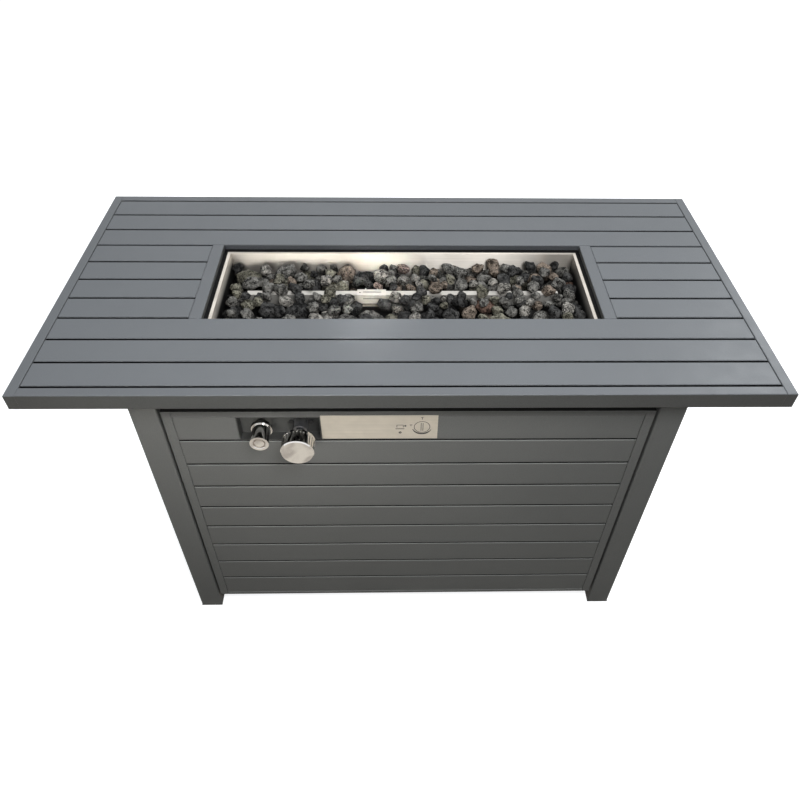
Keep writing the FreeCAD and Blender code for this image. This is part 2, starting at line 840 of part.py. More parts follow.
def make_valve():
    """Gas valve: neck through the control box, body behind it, outlet at the back."""
    gauge = d.slat_sheet
    shoulder = gauge + d.valve_length
    back = shoulder + d.outlet_length
    bore = d.stem_radius + d.stem_clearance
    seat = d.collar_radius + d.stem_clearance
    neck = d.valve_neck_radius
    mouth = -d.valve_neck_reach
    profile = [(0, mouth), (neck, mouth), (neck, gauge), (d.valve_radius, gauge),
               (d.valve_radius, shoulder), (d.outlet_radius, shoulder), (d.outlet_radius, back),
               (0, back)]
    body = turned("gas_valve", profile)
    doc.recompute()
    middle = gauge + d.valve_port_place
    port_half = d.valve_port_width / 2
    port = new_sketch(body, "XY_Plane")
    add_rectangle(port, -port_half, middle - port_half, port_half, middle + port_half)
    pad(body, port, d.valve_port_drop, reverse=True)
    ears = new_sketch(body, "XZ_Plane", -gauge)
    add_rectangle(ears, -d.ear_length / 2, -d.ear_height / 2, d.ear_length / 2, d.ear_height / 2)
    pad(body, ears, d.ear_sheet, reverse=True)
    holes = new_sketch(body, "XZ_Plane")
    for side in (-1, 1):
        add_circle(holes, side * d.screw_spacing / 2, 0, screw_hole)
    pocket(body, holes, d.screw_length + d.screw_clearance)
    for radius, depth in ((seat, d.push_room), (bore, d.valve_bore_depth)):
        hole = add_circle(new_sketch(body, "XZ_Plane", -mouth), 0, 0, radius)
        pocket(body, hole, depth - mouth)
    node(place(body, knob_x, plate_front, control_height))

    fitting = new_body("inlet_fitting")
    top = -d.valve_port_drop
    step = top - d.inlet_nut_height
    nut = add_polygon(new_sketch(fitting, "XY_Plane", top), corners_on_circle(6, d.inlet_nut_radius))
    pad(fitting, nut, d.inlet_nut_height, reverse=True)
    thread = add_circle(new_sketch(fitting, "XY_Plane", step), 0, 0, d.inlet_radius)
    pad(fitting, thread, d.inlet_length, reverse=True)
    end = add_circle(new_sketch(fitting, "XY_Plane", step - d.inlet_length), 0, 0, d.inlet_bore_radius)
    pocket(fitting, end, d.inlet_length, reverse=True)
    node(place(fitting, knob_x, plate_front + gauge + d.valve_port_place, control_height))


def make_stem():
    """Stem that carries the knob, and the collar that slides with it in the valve's neck."""
    tip = -d.knob_standoff - d.stem_hold
    radius = d.stem_radius
    stem = turned("valve_stem", [(0, tip), (radius, tip), (radius, d.stem_depth), (0, d.stem_depth)])
    node(place(stem, knob_x, plate_front, control_height))
    inner = radius + d.stem_clearance
    front = -d.collar_length
    collar = turned("stem_collar", [(inner, front), (d.collar_radius, front), (d.collar_radius, 0),
                                    (inner, 0)])
    node(place(collar, knob_x, plate_front, control_height))


def make_igniter():
    """Push-button igniter: bezel, cap and the module that the cap slides on."""
    gauge = d.slat_sheet
    rim = d.bezel_radius
    barrel = rim - d.bezel_step
    reach = -d.bezel_length
    inner = d.button_radius + d.running_gap
    bezel = turned("igniter_bezel", [(inner, 0), (barrel, 0), (barrel, reach + d.bezel_lip),
                                     (rim, reach + d.bezel_lip - d.bezel_step),
                                     (rim - d.bezel_bevel, reach), (inner, reach)])
    node(place(bezel, igniter_x, plate_front, control_height))

    button = d.button_radius
    front = -d.button_reach
    face = front + d.button_dish
    wall = button - d.button_wall
    cap = turned("igniter_button", [(0, face), (button - d.button_rim, face),
                                    (button - d.button_rim + d.button_dish, front), (button, front),
                                    (button, -d.button_stroke), (wall, -d.button_stroke),
                                    (wall, front + d.button_face), (0, front + d.button_face)])
    node(place(cap, igniter_x, plate_front, control_height))

    post = wall - d.running_gap
    tip = front + d.button_face + d.button_stroke + d.running_gap
    shoulder = -d.running_gap
    end = gauge + d.igniter_length
    module = turned("igniter_module", [(0, tip), (post, tip), (post, shoulder),
                                       (d.igniter_radius, shoulder), (d.igniter_radius, end), (0, end)])
    node(place(module, igniter_x, plate_front, control_height))

    nut = new_body("igniter_nut")
    outline = new_sketch(nut, "XZ_Plane", -gauge)
    add_polygon(outline, corners_on_circle(6, d.igniter_nut_radius, turn=30))
    add_circle(outline, 0, 0, d.igniter_radius + d.stem_clearance)
    pad(nut, outline, d.igniter_nut_height, reverse=True)
    node(place(nut, igniter_x, plate_front, control_height))


def make_valve_screws():
    """Pan-head screws that hold the valve's ears to the control box."""
    screws = []
    head = d.screw_head_radius
    for name, side in (("left", -1), ("right", 1)):
        screw = turned(f"valve_screw_{name}", [(0, -d.screw_head_height), (head, -d.screw_head_height),
                                               (head, 0), (d.screw_radius, 0),
                                               (d.screw_radius, d.screw_length), (0, d.screw_length)])
        screws.append(place(screw, knob_x + side * d.screw_spacing / 2, plate_front, control_height))
    node(group("valve_screws", screws))


# Burner


def make_pan():
    """Burner pan: folded walls, a flange that rests on the ledge, holes in its floor."""
    body = new_body("burner_pan")
    rim_x = pan_half + d.pan_flange
    rim_y = pan_half_depth + d.pan_flange
    flange = add_rectangle(new_sketch(body, "XY_Plane", ledge_top), -rim_x, -rim_y, rim_x, rim_y)
    pad(body, flange, d.pan_sheet)
    well = add_rectangle(new_sketch(body, "XY_Plane", pan_under), -pan_half, -pan_half_depth,
                         pan_half, pan_half_depth)
    pad(body, well, ledge_top - pan_under)
    half = pan_half - d.pan_sheet
    half_depth = pan_half_depth - d.pan_sheet
    hollow = add_rectangle(new_sketch(body, "XY_Plane", pan_floor), -half, -half_depth, half,
                           half_depth)
    pocket(body, hollow, d.pan_depth, reverse=True)
    holes = new_sketch(body, "XY_Plane", pan_floor)
    add_circle(holes, 0, 0, d.mixer_radius + d.running_gap)
    add_circle(holes, spark_x, d.electrode_setback, d.spark_radius + d.running_gap)
    add_circle(holes, sensor_x, d.electrode_setback, d.sensor_radius + d.running_gap)
    for side in (-1, 1):
        add_circle(holes, side * (half - d.drain_inset), d.drain_inset - half_depth, d.drain_radius)
    pocket(body, holes, 2 * d.pan_sheet)
    node(place(body))


def make_burner():
    """Closed bar with a row of gas ports low on each side, and the feet that carry it."""
    body = new_body("burner_bar")
    half = d.burner_width / 2
    length = d.burner_length
    section = add_rectangle(new_sketch(body, "YZ_Plane"), -half, 0, half, d.burner_height)
    pad(body, section, length, both=True)
    hollow = add_rectangle(new_sketch(body, "YZ_Plane"), d.burner_sheet - half, d.burner_sheet,
                           half - d.burner_sheet, d.burner_height - d.burner_sheet)
    pocket(body, hollow, length - 2 * d.burner_sheet, both=True)
    port = new_sketch(body, "XZ_Plane")
    add_polygon(port, corners_on_circle(6, d.port_radius, -(BURNER_PORTS // 2) * d.port_pitch,
                                        d.burner_height - d.port_drop))
    cut = pocket(body, port, 2 * d.burner_width, both=True)
    ports = row_of(body, [cut], "X_Axis", d.port_pitch, BURNER_PORTS)
    inlet = add_circle(new_sketch(body, "XY_Plane"), 0, 0, d.burner_inlet_radius)
    doc.recompute()
    body.Tip = ports
    pocket(body, inlet, 2 * d.burner_sheet, reverse=True)
    node(place(body, 0, 0, burner_under))

    feet = []
    for name, side in (("left", -1), ("right", 1)):
        foot = new_body(f"burner_foot_{name}")
        rise = d.burner_rise
        thick = d.burner_sheet
        reach = d.foot_reach
        profile = [(-reach, 0), (-thick / 2, 0), (-thick / 2, rise - thick), (reach, rise - thick),
                   (reach, rise), (-thick * 1.5, rise), (-thick * 1.5, thick), (-reach, thick)]
        sketch = add_polygon(new_sketch(foot, "XZ_Plane"), profile)
        pad(foot, sketch, d.burner_width, both=True)
        feet.append(place(foot, side * (length / 2 - d.foot_inset), 0, pan_floor))
    node(group("burner_feet", feet))


def make_guard():
    """Slotted cover over the bar where it is lit."""
    body = new_body("pilot_guard")
    half = d.guard_depth / 2
    gauge = d.pan_sheet
    profile = [(-half, gauge - d.guard_drop), (-half, gauge), (half, gauge), (half, 0),
               (gauge - half, 0), (gauge - half, gauge - d.guard_drop)]
    pad(body, add_polygon(new_sketch(body, "YZ_Plane"), profile), d.guard_length, both=True)
    left = d.guard_slot_shift - d.guard_slot_length / 2
    right = d.guard_slot_shift + d.guard_slot_length / 2
    top_slot = new_sketch(body, "XY_Plane")
    add_rectangle(top_slot, left, 0, right, d.guard_slot_width)
    pocket(body, top_slot, 2 * gauge, reverse=True)
    front_slot = new_sketch(body, "XZ_Plane")
    add_rectangle(front_slot, left, -d.guard_slot_drop - d.guard_slot_width, right,
                  -d.guard_slot_drop)
    pocket(body, front_slot, d.guard_depth, reverse=True)
    screw = new_sketch(body, "XY_Plane")
    add_circle(screw, d.guard_screw_place, 0, d.guard_screw_radius)
    pocket(body, screw, 2 * gauge, reverse=True)
    node(place(body, d.guard_place, 0, burner_top))


def make_mixer():
    """Upright mixing tube with its nut and the brass elbow that feeds it."""
    neck = d.mixer_radius
    inner = neck - d.mixer_sheet
    lip = neck + d.mixer_lip
    lip_top = pan_floor + d.mixer_lip_sheet
    mouth = shield_under - d.mixer_drop
    spud_hole = d.spud_radius + d.screw_clearance
    profile = [(inner, burner_under), (neck, burner_under), (neck, lip_top), (lip, lip_top),
               (lip, pan_floor), (neck, pan_floor), (neck, mouth), (spud_hole, mouth),
               (spud_hole, mouth + d.mixer_sheet), (inner, mouth + d.mixer_sheet)]
    body = turned("mixer_tube", profile, "XZ_Plane")
    doc.recompute()
    low = mouth + 2 * d.mixer_sheet
    vent = add_rectangle(new_sketch(body, "XZ_Plane"), -d.vent_width / 2, low, d.vent_width / 2,
                         low + d.vent_height)
    pocket(body, vent, 4 * neck, both=True)
    node(place(body))

    nut = new_body("mixer_nut")
    outline = new_sketch(nut, "XY_Plane")
    add_polygon(outline, corners_on_circle(6, d.mixer_nut_radius))
    add_circle(outline, 0, 0, neck + d.stem_clearance)
    pad(nut, outline, d.mixer_nut_height, reverse=True)
    node(place(nut, 0, 0, pan_under))

    elbow = new_body("orifice_elbow")
    half = d.elbow_radius * math.cos(math.pi / 6)
    top = mouth - control_height
    block = add_polygon(new_sketch(elbow, "XY_Plane", -half), corners_on_circle(6, d.elbow_radius))
    pad(elbow, block, top + half)
    spud = add_circle(new_sketch(elbow, "XY_Plane", top), 0, 0, d.spud_radius)
    pad(elbow, spud, d.spud_length)
    side = add_polygon(new_sketch(elbow, "YZ_Plane"), corners_on_circle(6, d.elbow_radius, turn=30))
    pad(elbow, side, d.elbow_reach, reverse=True)
    node(place(elbow, 0, 0, control_height))


def make_igniter_parts():
    """Spark electrode and flame sensor, standing behind the bar in one bracket."""
    low = electrode_low
    tip = burner_top - d.probe_drop
    probe = d.probe_radius
    for name, x, sleeve, bare in (("spark_electrode", spark_x, d.spark_radius, d.spark_bare),
                                  ("flame_sensor", sensor_x, d.sensor_radius, d.sensor_bare)):
        profile = [(0, low), (sleeve, low), (sleeve, tip - bare), (probe, tip - bare), (probe, tip),
                   (0, tip)]
        node(place(turned(name, profile, "XZ_Plane"), x, d.electrode_setback, 0))

    bracket = new_body("pilot_bracket")
    thick = d.burner_sheet
    rise = d.pilot_bracket_rise
    near = d.electrode_setback - d.pilot_bracket_depth / 2
    far = d.electrode_setback + d.pilot_bracket_depth / 2
    profile = [(near, 0), (near + thick, 0), (near + thick, rise - thick), (far, rise - thick),
               (far, rise), (near, rise)]
    pad(bracket, add_polygon(new_sketch(bracket, "YZ_Plane"), profile), d.pilot_bracket_length, both=True)
    holes = new_sketch(bracket, "XY_Plane", rise)
    for side, sleeve in ((-1, d.spark_radius), (1, d.sensor_radius)):
        add_circle(holes, side * d.electrode_spacing / 2, d.electrode_setback,
                   sleeve + d.stem_clearance)
    pocket(bracket, holes, 2 * thick)
    node(place(bracket, d.guard_place, 0, pan_floor))


def make_shield():
    """Heat shield under the pan, hung from the bearers beside the opening."""
    half = opening_half + d.strip_width / 2 + d.bearer_width / 4
    half_depth = opening_half_depth + d.shield_margin
    gauge = d.shield_sheet
    body = new_body("heat_shield")
    outer = add_rectangle(new_sketch(body, "XY_Plane", shield_under), -half, -half_depth, half,
                          half_depth)
    pad(body, outer, under_top - shield_under)
    inner = add_rectangle(new_sketch(body, "XY_Plane", shield_under + gauge), gauge - half,
                          gauge - half_depth, half - gauge, half_depth - gauge)
    pocket(body, inner, under_top - shield_under, reverse=True)
    holes = new_sketch(body, "XY_Plane", shield_under + gauge)
    add_circle(holes, 0, 0, d.mixer_nut_radius + d.nut_clearance)
    add_rectangle(holes, d.guard_place - d.electrode_spacing, d.electrode_setback - d.lead_hole_near,
                  d.guard_place + d.electrode_spacing, d.electrode_setback + d.lead_hole_far)
    pocket(body, holes, 2 * gauge)
    vent = new_sketch(body, "XY_Plane", shield_under + gauge)
    add_rectangle(vent, -d.shield_vent_place, -d.shield_vent_length / 2,
                  d.shield_vent_width - d.shield_vent_place, d.shield_vent_length / 2)
    cut = pocket(body, vent, 2 * gauge)
    row_of(body, [cut], "X_Axis", d.shield_vent_pitch, SHIELD_VENTS)
    doc.recompute()
    node(place(body))


def bent_tube(label, points, radius, bend, sides):
    """Tube of straight runs joined by arcs, held at both of its ends."""
    points = [Vector(*(as_size(c).value for c in point)) for point in points]
    radius = as_size(radius).value
    bend = as_size(bend).value
    edges = []
    start = points[0]
    for before, corner, after in zip(points, points[1:], points[2:]):
        inward = (before - corner).normalize()
        outward = (after - corner).normalize()
        half_turn = inward.getAngle(outward) / 2
        cut = bend / math.tan(half_turn)
        first = corner + inward * cut
        last = corner + outward * cut
        bisector = (inward + outward).normalize()
        centre = corner + bisector * (bend / math.sin(half_turn))
        middle = centre + (corner - centre).normalize() * bend
        edges.append(Part.LineSegment(start, first).toShape())
        edges.append(Part.Arc(first, middle, last).toShape())
        start = last
    edges.append(Part.LineSegment(start, points[-1]).toShape())
    path = Part.Wire(edges)
    along = Rotation(Vector(0, 0, 1), points[1] - points[0])
    ring = [points[0] + along.multVec(Vector(x, y, 0)) for x, y in corners_on_circle(sides, radius)]
    section = Part.makePolygon(ring + ring[:1])
    shape = path.makePipeShell([section], True, False)
    expected = sides / 2 * radius ** 2 * math.sin(2 * math.pi / sides) * path.Length
    if abs(shape.Volume / expected - 1) > 0.02:
        raise RuntimeError(f"{label}: volume {shape.Volume:.0f}, expected {expected:.0f}")
    tube = doc.addObject("Part::Feature", label)
    tube.Label = label
    tube.Shape = shape
    tube.Placement = Placement()
    return node(tube)


def make_tubes():
    """Rigid gas tube, and the two leads that run from the burner to the controls."""
    height = control_height
    bent_tube("feed_tube", [(-d.elbow_reach, 0, height), (knob_x, 0, height),
                            (knob_x, valve_back, height)], d.feed_radius, d.feed_bend, 8)
    low = electrode_low
    back = d.electrode_setback
    drop = low - d.igniter_lead_drop
    turn_y = igniter_back + d.lead_turn
    bent_tube("igniter_lead", [(spark_x, back, low), (spark_x, back, drop), (spark_x, turn_y, drop),
                               (igniter_x, turn_y, drop), (igniter_x, turn_y, height),
                               (igniter_x, igniter_back, height)],
              d.igniter_lead_radius, d.lead_bend, 6)
    drop = low - d.sensor_lead_drop
    turn_y = valve_back + d.lead_turn
    side_x = knob_x + d.valve_radius - d.sensor_lead_radius
    bent_tube("sensor_lead", [(sensor_x, back, low), (sensor_x, back, drop), (sensor_x, turn_y, drop),
                              (side_x, turn_y, height),
                              (side_x, valve_back - d.outlet_length, height)],
              d.sensor_lead_radius, d.lead_bend, 6)


# Cabinet


def make_cabinet_floor():
    """Floor plate on the lower rails, with a collar that centres the tank's foot ring."""
    body = new_body("cabinet_floor")
    half = d.base_length / 2 - d.leg_width - d.running_gap
    half_depth = base_depth / 2 - rail_centre + d.tube_width / 2
    ring = d.tank_ring_radius
    plate = new_sketch(body, "XY_Plane")
    add_rectangle(plate, -half, -half_depth, half, half_depth)
    add_circle(plate, d.tank_place, 0, ring)
    pad(body, plate, d.floor_sheet)
    collar = new_sketch(body, "XY_Plane")
    add_circle(collar, d.tank_place, 0, ring + d.ledge_sheet)
    add_circle(collar, d.tank_place, 0, ring)
    pad(body, collar, d.floor_sheet + d.tank_collar_height)
    vent = new_sketch(body, "XY_Plane")
    add_rectangle(vent, -d.floor_vent_place, -d.floor_vent_length / 2,
                  d.floor_vent_width - d.floor_vent_place, d.floor_vent_length / 2)
    cut = pocket(body, vent, 2 * d.floor_sheet, reverse=True)
    row_of(body, [cut], "X_Axis", d.floor_vent_pitch, FLOOR_VENTS)
    doc.recompute()
    node(place(body, d.base_shift, 0, lower_rail_top))


# Door hardware, in the place of the right end panel


def door_point(local_x, local_y):
    """Plan position of a point given in the door panel's own place."""
    return d.base_shift + side_face - local_y, local_x


def make_pivots():
    """Pins on the door's hinge side, turning in brackets on the rear leg."""
    along = side_length / 2 - d.pivot_setback
    x, y = door_point(along, panel_depth / 2)
    radius = d.pivot_radius
    rim = d.pivot_disc_radius
    pins = []
    brackets = []
    for name, face, way in (("top", panel_top, 1), ("bottom", d.panel_bottom, -1)):
        disc = way * d.pivot_disc_height
        near = disc + way * d.running_gap
        far = near + way * d.pivot_plate
        tip = far + way * d.pin_tip
        end = far + way * d.pivot_flange
        profile = [(0, 0), (rim, 0), (rim, disc), (radius, disc), (radius, tip), (0, tip)]
        pins.append(place(turned(f"pivot_pin_{name}", profile, "XZ_Plane"), x, y, face))
        body = new_body(f"pivot_bracket_{name}")
        wall = d.pivot_setback + d.door_gap
        inner = wall - d.pivot_flange_sheet
        reach = -d.pivot_plate_reach
        outline = [(reach, near), (wall, near), (wall, end), (inner, end), (inner, far), (reach, far)]
        pad(body, add_polygon(new_sketch(body, "YZ_Plane"), outline), d.pivot_plate_width, both=True)
        hole = add_circle(new_sketch(body, "XY_Plane"), 0, 0, radius + d.stem_clearance)
        pocket(body, hole, 4 * d.pivot_flange, both=True)
        brackets.append(place(body, x, y, face))
    node(group("pivot_pins", pins))
    node(group("pivot_brackets", brackets))


def make_catch():
    """Magnetic catch on the front leg, its striker and the pull on the door."""
    middle = (panel_top + d.panel_bottom) / 2
    edge = -side_length / 2
    x, y = door_point(edge + d.panel_bar / 2, panel_depth)
    striker = new_body("door_striker")
    half = d.catch_width / 2
    tall = d.striker_height / 2
    sheet_metal = add_rectangle(new_sketch(striker, "YZ_Plane"), -half, -tall, half, tall)
    pad(striker, sheet_metal, d.striker_sheet, reverse=True)
    node(place(striker, x, y, middle))

    catch = new_body("magnet_catch")
    leg_side = -d.door_gap - d.panel_bar / 2
    tall = d.catch_height / 2
    section = add_rectangle(new_sketch(catch, "YZ_Plane"), leg_side, -tall, half, tall)
    pad(catch, section, d.catch_depth, reverse=True)
    bevel(catch, d.catch_bevel, lambda e: abs(e.Vertexes[0].X - e.Vertexes[-1].X) > 1)
    node(place(catch, x - d.striker_sheet - d.running_gap, y, middle))

    neck = d.pull_neck_radius
    end = -d.pull_length
    grip = end + d.pull_grip
    pull = turned("door_pull", [(0, 0), (neck, 0), (neck, grip + d.pull_flare), (d.pull_radius, grip),
                                (d.pull_radius, end), (0, end)])
    place(pull, *door_point(edge + d.panel_bar / 2, ZERO), middle, ((0, 0, 1), 90))
    node(pull)


# Lava stones: convex blocks that come to rest one by one in the pan


def icosahedron():
    """Corners and triangles of a regular solid with twenty faces."""
    golden = (1 + math.sqrt(5)) / 2
    corners = []
    for a in (-1, 1):
        for b in (-golden, golden):
            corners += [(0, a, b), (a, b, 0), (b, 0, a)]
    corners = [Vector(*c).normalize() for c in corners]
    faces = []
    for i in range(12):
        for j in range(i + 1, 12):
            for k in range(j + 1, 12):
                sides = [(corners[a] - corners[b]).Length for a, b in ((i, j), (j, k), (k, i))]
                if max(sides) < 1.1:
                    normal = (corners[j] - corners[i]).cross(corners[k] - corners[i])
                    outward = normal.dot(corners[i]) > 0
                    faces.append((i, j, k) if outward else (i, k, j))
    return corners, faces


CORNERS, FACES = icosahedron()
EDGES = sorted({tuple(sorted((f[a], f[a - 1]))) for f in FACES for a in range(3)})


class Block:
    """Convex solid with plane faces, known by its corners, edges and face planes."""

    def __init__(self, corners, faces, edges):
        self.corners = corners
        self.faces = faces
        self.edges = edges
        self.measure()

    def measure(self):
        self.planes = []
        for a, b, c in ((f[0], f[1], f[2]) for f in self.faces):
            normal = (self.corners[b] - self.corners[a]).cross(self.corners[c] - self.corners[a])
            normal.normalize()
            self.planes.append((normal, normal.dot(self.corners[a])))
        xs = [c.x for c in self.corners]
        ys = [c.y for c in self.corners]
        self.plan = (min(xs), min(ys), max(xs), max(ys))
        self.low = min(c.z for c in self.corners)
        self.high = max(c.z for c in self.corners)

    def moved(self, step):
        return Block([c + step for c in self.corners], self.faces, self.edges)

    def surface(self, x, y, upper):
        """Height of the upper or lower surface over a plan point, or None outside."""
        top, bottom = math.inf, -math.inf
        for normal, reach in self.planes:
            rest = reach - normal.x * x - normal.y * y
            if normal.z > 1e-9:
                top = min(top, rest / normal.z)
            elif normal.z < -1e-9:
                bottom = max(bottom, rest / normal.z)
            elif rest < 0:
                return None
        if top < bottom:
            return None
        return top if upper else bottom


def plans_apart(one, other):
    return (one.plan[0] > other.plan[2] or one.plan[2] < other.plan[0]
            or one.plan[1] > other.plan[3] or one.plan[3] < other.plan[1])


def height_above(falling, resting):
    """How far a block can fall before it meets another, or None if it passes by."""
    if plans_apart(falling, resting):
        return None
    gaps = []
    for corner in falling.corners:
        below = resting.surface(corner.x, corner.y, True)
        if below is not None:
            gaps.append(corner.z - below)
    for corner in resting.corners:
        above = falling.surface(corner.x, corner.y, False)
        if above is not None:
            gaps.append(above - corner.z)
    for a, b in falling.edges:
        p, r = falling.corners[a], falling.corners[b] - falling.corners[a]
        for m, n in resting.edges:
            q, s = resting.corners[m], resting.corners[n] - resting.corners[m]
            cross = r.x * s.y - r.y * s.x
            if abs(cross) < 1e-9:
                continue
            t = ((q.x - p.x) * s.y - (q.y - p.y) * s.x) / cross
            u = ((q.x - p.x) * r.y - (q.y - p.y) * r.x) / cross
            if 0 <= t <= 1 and 0 <= u <= 1:
                gaps.append(p.z + t * r.z - q.z - u * s.z)
    return min(gaps) if gaps else None


def box_block(x0, y0, z0, x1, y1, z1):
    corners = [Vector(x, y, z) for x in (x0, x1) for y in (y0, y1) for z in (z0, z1)]
    faces = [(0, 1, 3, 2), (4, 6, 7, 5), (0, 4, 5, 1), (2, 3, 7, 6), (0, 2, 6, 4), (1, 5, 7, 3)]
    edges = [(i, j) for i in range(8) for j in range(i + 1, 8) if bin(i ^ j).count("1") == 1]
    return Block(corners, faces, edges)


def make_stone(rng, scale):
    """One broken stone about the origin: a stretched, jolted and turned block."""
    size = d.stone_size.value / 2 * scale * rng.uniform(0.8, 1.2)
    stretch = (rng.uniform(1.0, 1.35), rng.uniform(0.85, 1.1), rng.uniform(0.62, 0.85))
    axis = Vector(rng.gauss(0, 1), rng.gauss(0, 1), rng.gauss(0, 1))
    turn = Rotation(Vector(0, 0, 1), rng.uniform(0, 360)).multiply(Rotation(axis, rng.uniform(-35, 35)))
    corners = []
    for corner in CORNERS:
        reach = size * rng.uniform(0.88, 1.12)
        corners.append(turn.multVec(Vector(*(c * s * reach for c, s in zip(corner, stretch)))))
    return Block(corners, FACES, EDGES)


def resting_height(stone, x, y, blocks):
    """Rough height at which a stone would rest, taking stones as round."""
    radius = (stone.plan[2] - stone.plan[0] + stone.plan[3] - stone.plan[1]) / 4
    height = 0
    for block in blocks:
        cx, cy = (block.plan[0] + block.plan[2]) / 2, (block.plan[1] + block.plan[3]) / 2
        other = (block.plan[2] - block.plan[0] + block.plan[3] - block.plan[1]) / 4
        apart = math.hypot(x - cx, y - cy)
        reach = radius + other
        if len(block.corners) == 8:
            beside = (x + radius < block.plan[0] or x - radius > block.plan[2]
                      or y + radius < block.plan[1] or y - radius > block.plan[3])
            if not beside:
                height = max(height, block.high)
        elif apart < reach:
            height = max(height, block.high - (block.high - block.low) * (apart / reach) ** 2)
    return height


def make_stones():
    """Fill the pan: each stone takes the lowest of a few places and falls into contact."""
    rng = random.Random(11)
    gap = d.stone_gap.value
    floor = pan_floor.value
    side = (pan_half - d.pan_sheet).value - gap
    deep = (pan_half_depth - d.pan_sheet).value - gap
    half_bar = d.burner_width.value / 2 + gap
    half_burner = d.burner_length.value / 2 + gap
    guard = d.guard_place.value
    half_guard = d.guard_length.value / 2 + gap
    guard_depth = d.guard_depth.value / 2 + gap
    blocks = [box_block(-half_burner, -half_bar, floor, half_burner, half_bar, burner_top.value),
              box_block(guard - half_guard, -guard_depth, floor, guard + half_guard,
                        guard_depth + d.pilot_room.value, burner_top.value + d.pan_sheet.value)]
    limit = pan_rim.value - d.stone_freeboard.value
    stones = []
    for number in range(STONE_TRIES):
        stone = make_stone(rng, 1.25 - 0.6 * number / STONE_TRIES)
        half_x = (stone.plan[2] - stone.plan[0]) / 2
        half_y = (stone.plan[3] - stone.plan[1]) / 2
        options = []
        for attempt in range(PLACES_TRIED):
            x = rng.uniform(half_x - side, side - half_x)
            y = rng.uniform(half_y - deep, deep - half_y)
            options.append((resting_height(stone, x, y, blocks), x, y))
        height, x, y = min(options)
        middle_x = (stone.plan[2] + stone.plan[0]) / 2
        middle_y = (stone.plan[3] + stone.plan[1]) / 2
        stone = stone.moved(Vector(x - middle_x, y - middle_y, floor + DROP_HEIGHT - stone.low))
        falls = [stone.low - floor] + [fall for fall in (height_above(stone, block) for block in blocks)
                                       if fall is not None]
        stone = stone.moved(Vector(0, 0, gap - min(falls)))
        if stone.high > limit:
            continue
        blocks.append(stone)
        stones.append(stone)
    solids = []
    for stone in stones:
        sides = [Part.Face(Part.makePolygon([stone.corners[i] for i in face + face[:1]]))
                 for face in stone.faces]
        solids.append(Part.Solid(Part.Shell(sides)))
    feature = doc.addObject("Part::Feature", "lava_stones")
    feature.Label = "lava_stones"
    feature.Shape = Part.Compound(solids)
    feature.Placement = Placement()
    print("stones", len(stones), "highest", round(max(s.high for s in stones), 1))
    node(feature)


make_top_rails()
make_long_slats()
make_short_slats()
make_bearers()
make_ledge()
make_legs()
make_base_rails()
make_panels()
make_control_box()
make_sign()
make_knob()
make_valve()
make_stem()
make_igniter()
make_valve_screws()
make_pan()
make_burner()
make_guard()
make_mixer()
make_igniter_parts()
make_shield()
make_tubes()
make_cabinet_floor()
make_pivots()
make_catch()
make_stones()

doc.recompute()
for thing in doc.Objects:
    if "Invalid" in thing.State or "Error" in thing.State:
        raise RuntimeError(f"{thing.Label} failed: {thing.State}")
for part in nodes:
    if part.Shape.isNull() or not part.Shape.isValid():
        raise RuntimeError(f"{part.Label} has no valid shape")
os.makedirs("parts", exist_ok=True)
for part in nodes:
    part.Shape.exportStep(f"parts/{part.Label}.step")
print(len(nodes), "sub-parts")
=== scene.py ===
import json
import math
import random

import bmesh
import bpy
import numpy as np
from mathutils import Matrix, Vector, noise
from mathutils.bvhtree import BVHTree


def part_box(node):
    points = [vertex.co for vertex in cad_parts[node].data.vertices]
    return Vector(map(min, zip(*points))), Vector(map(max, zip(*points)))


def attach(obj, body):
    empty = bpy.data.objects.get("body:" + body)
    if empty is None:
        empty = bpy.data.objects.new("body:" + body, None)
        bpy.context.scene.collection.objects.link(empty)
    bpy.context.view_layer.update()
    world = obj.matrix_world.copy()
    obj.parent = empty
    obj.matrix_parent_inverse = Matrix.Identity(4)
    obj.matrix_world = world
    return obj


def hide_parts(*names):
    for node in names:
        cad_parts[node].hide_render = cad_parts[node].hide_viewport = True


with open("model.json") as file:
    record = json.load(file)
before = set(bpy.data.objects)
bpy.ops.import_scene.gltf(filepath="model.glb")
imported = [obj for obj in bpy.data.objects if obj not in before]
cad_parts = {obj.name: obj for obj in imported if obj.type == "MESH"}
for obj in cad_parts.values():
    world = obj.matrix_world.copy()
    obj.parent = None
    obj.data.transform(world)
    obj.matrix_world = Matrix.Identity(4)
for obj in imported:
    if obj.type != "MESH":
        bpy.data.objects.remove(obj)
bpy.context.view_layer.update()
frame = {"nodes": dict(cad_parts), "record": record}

NODES = frame["nodes"]
SCENE = bpy.context.scene

# View: the photograph's camera, in metres and degrees

IMAGE_SIZE = 800
FOCAL_PIXELS = 695.56
CENTRE_PIXEL = (409.78, 387.41)
CAMERA_PLACE = Vector((-0.0171, -0.92702, 1.28777))
CAMERA_PITCH = 44.16
CAMERA_YAW = 1.92
CAMERA_ROLL = 1.22
SENSOR_WIDTH = 36.0


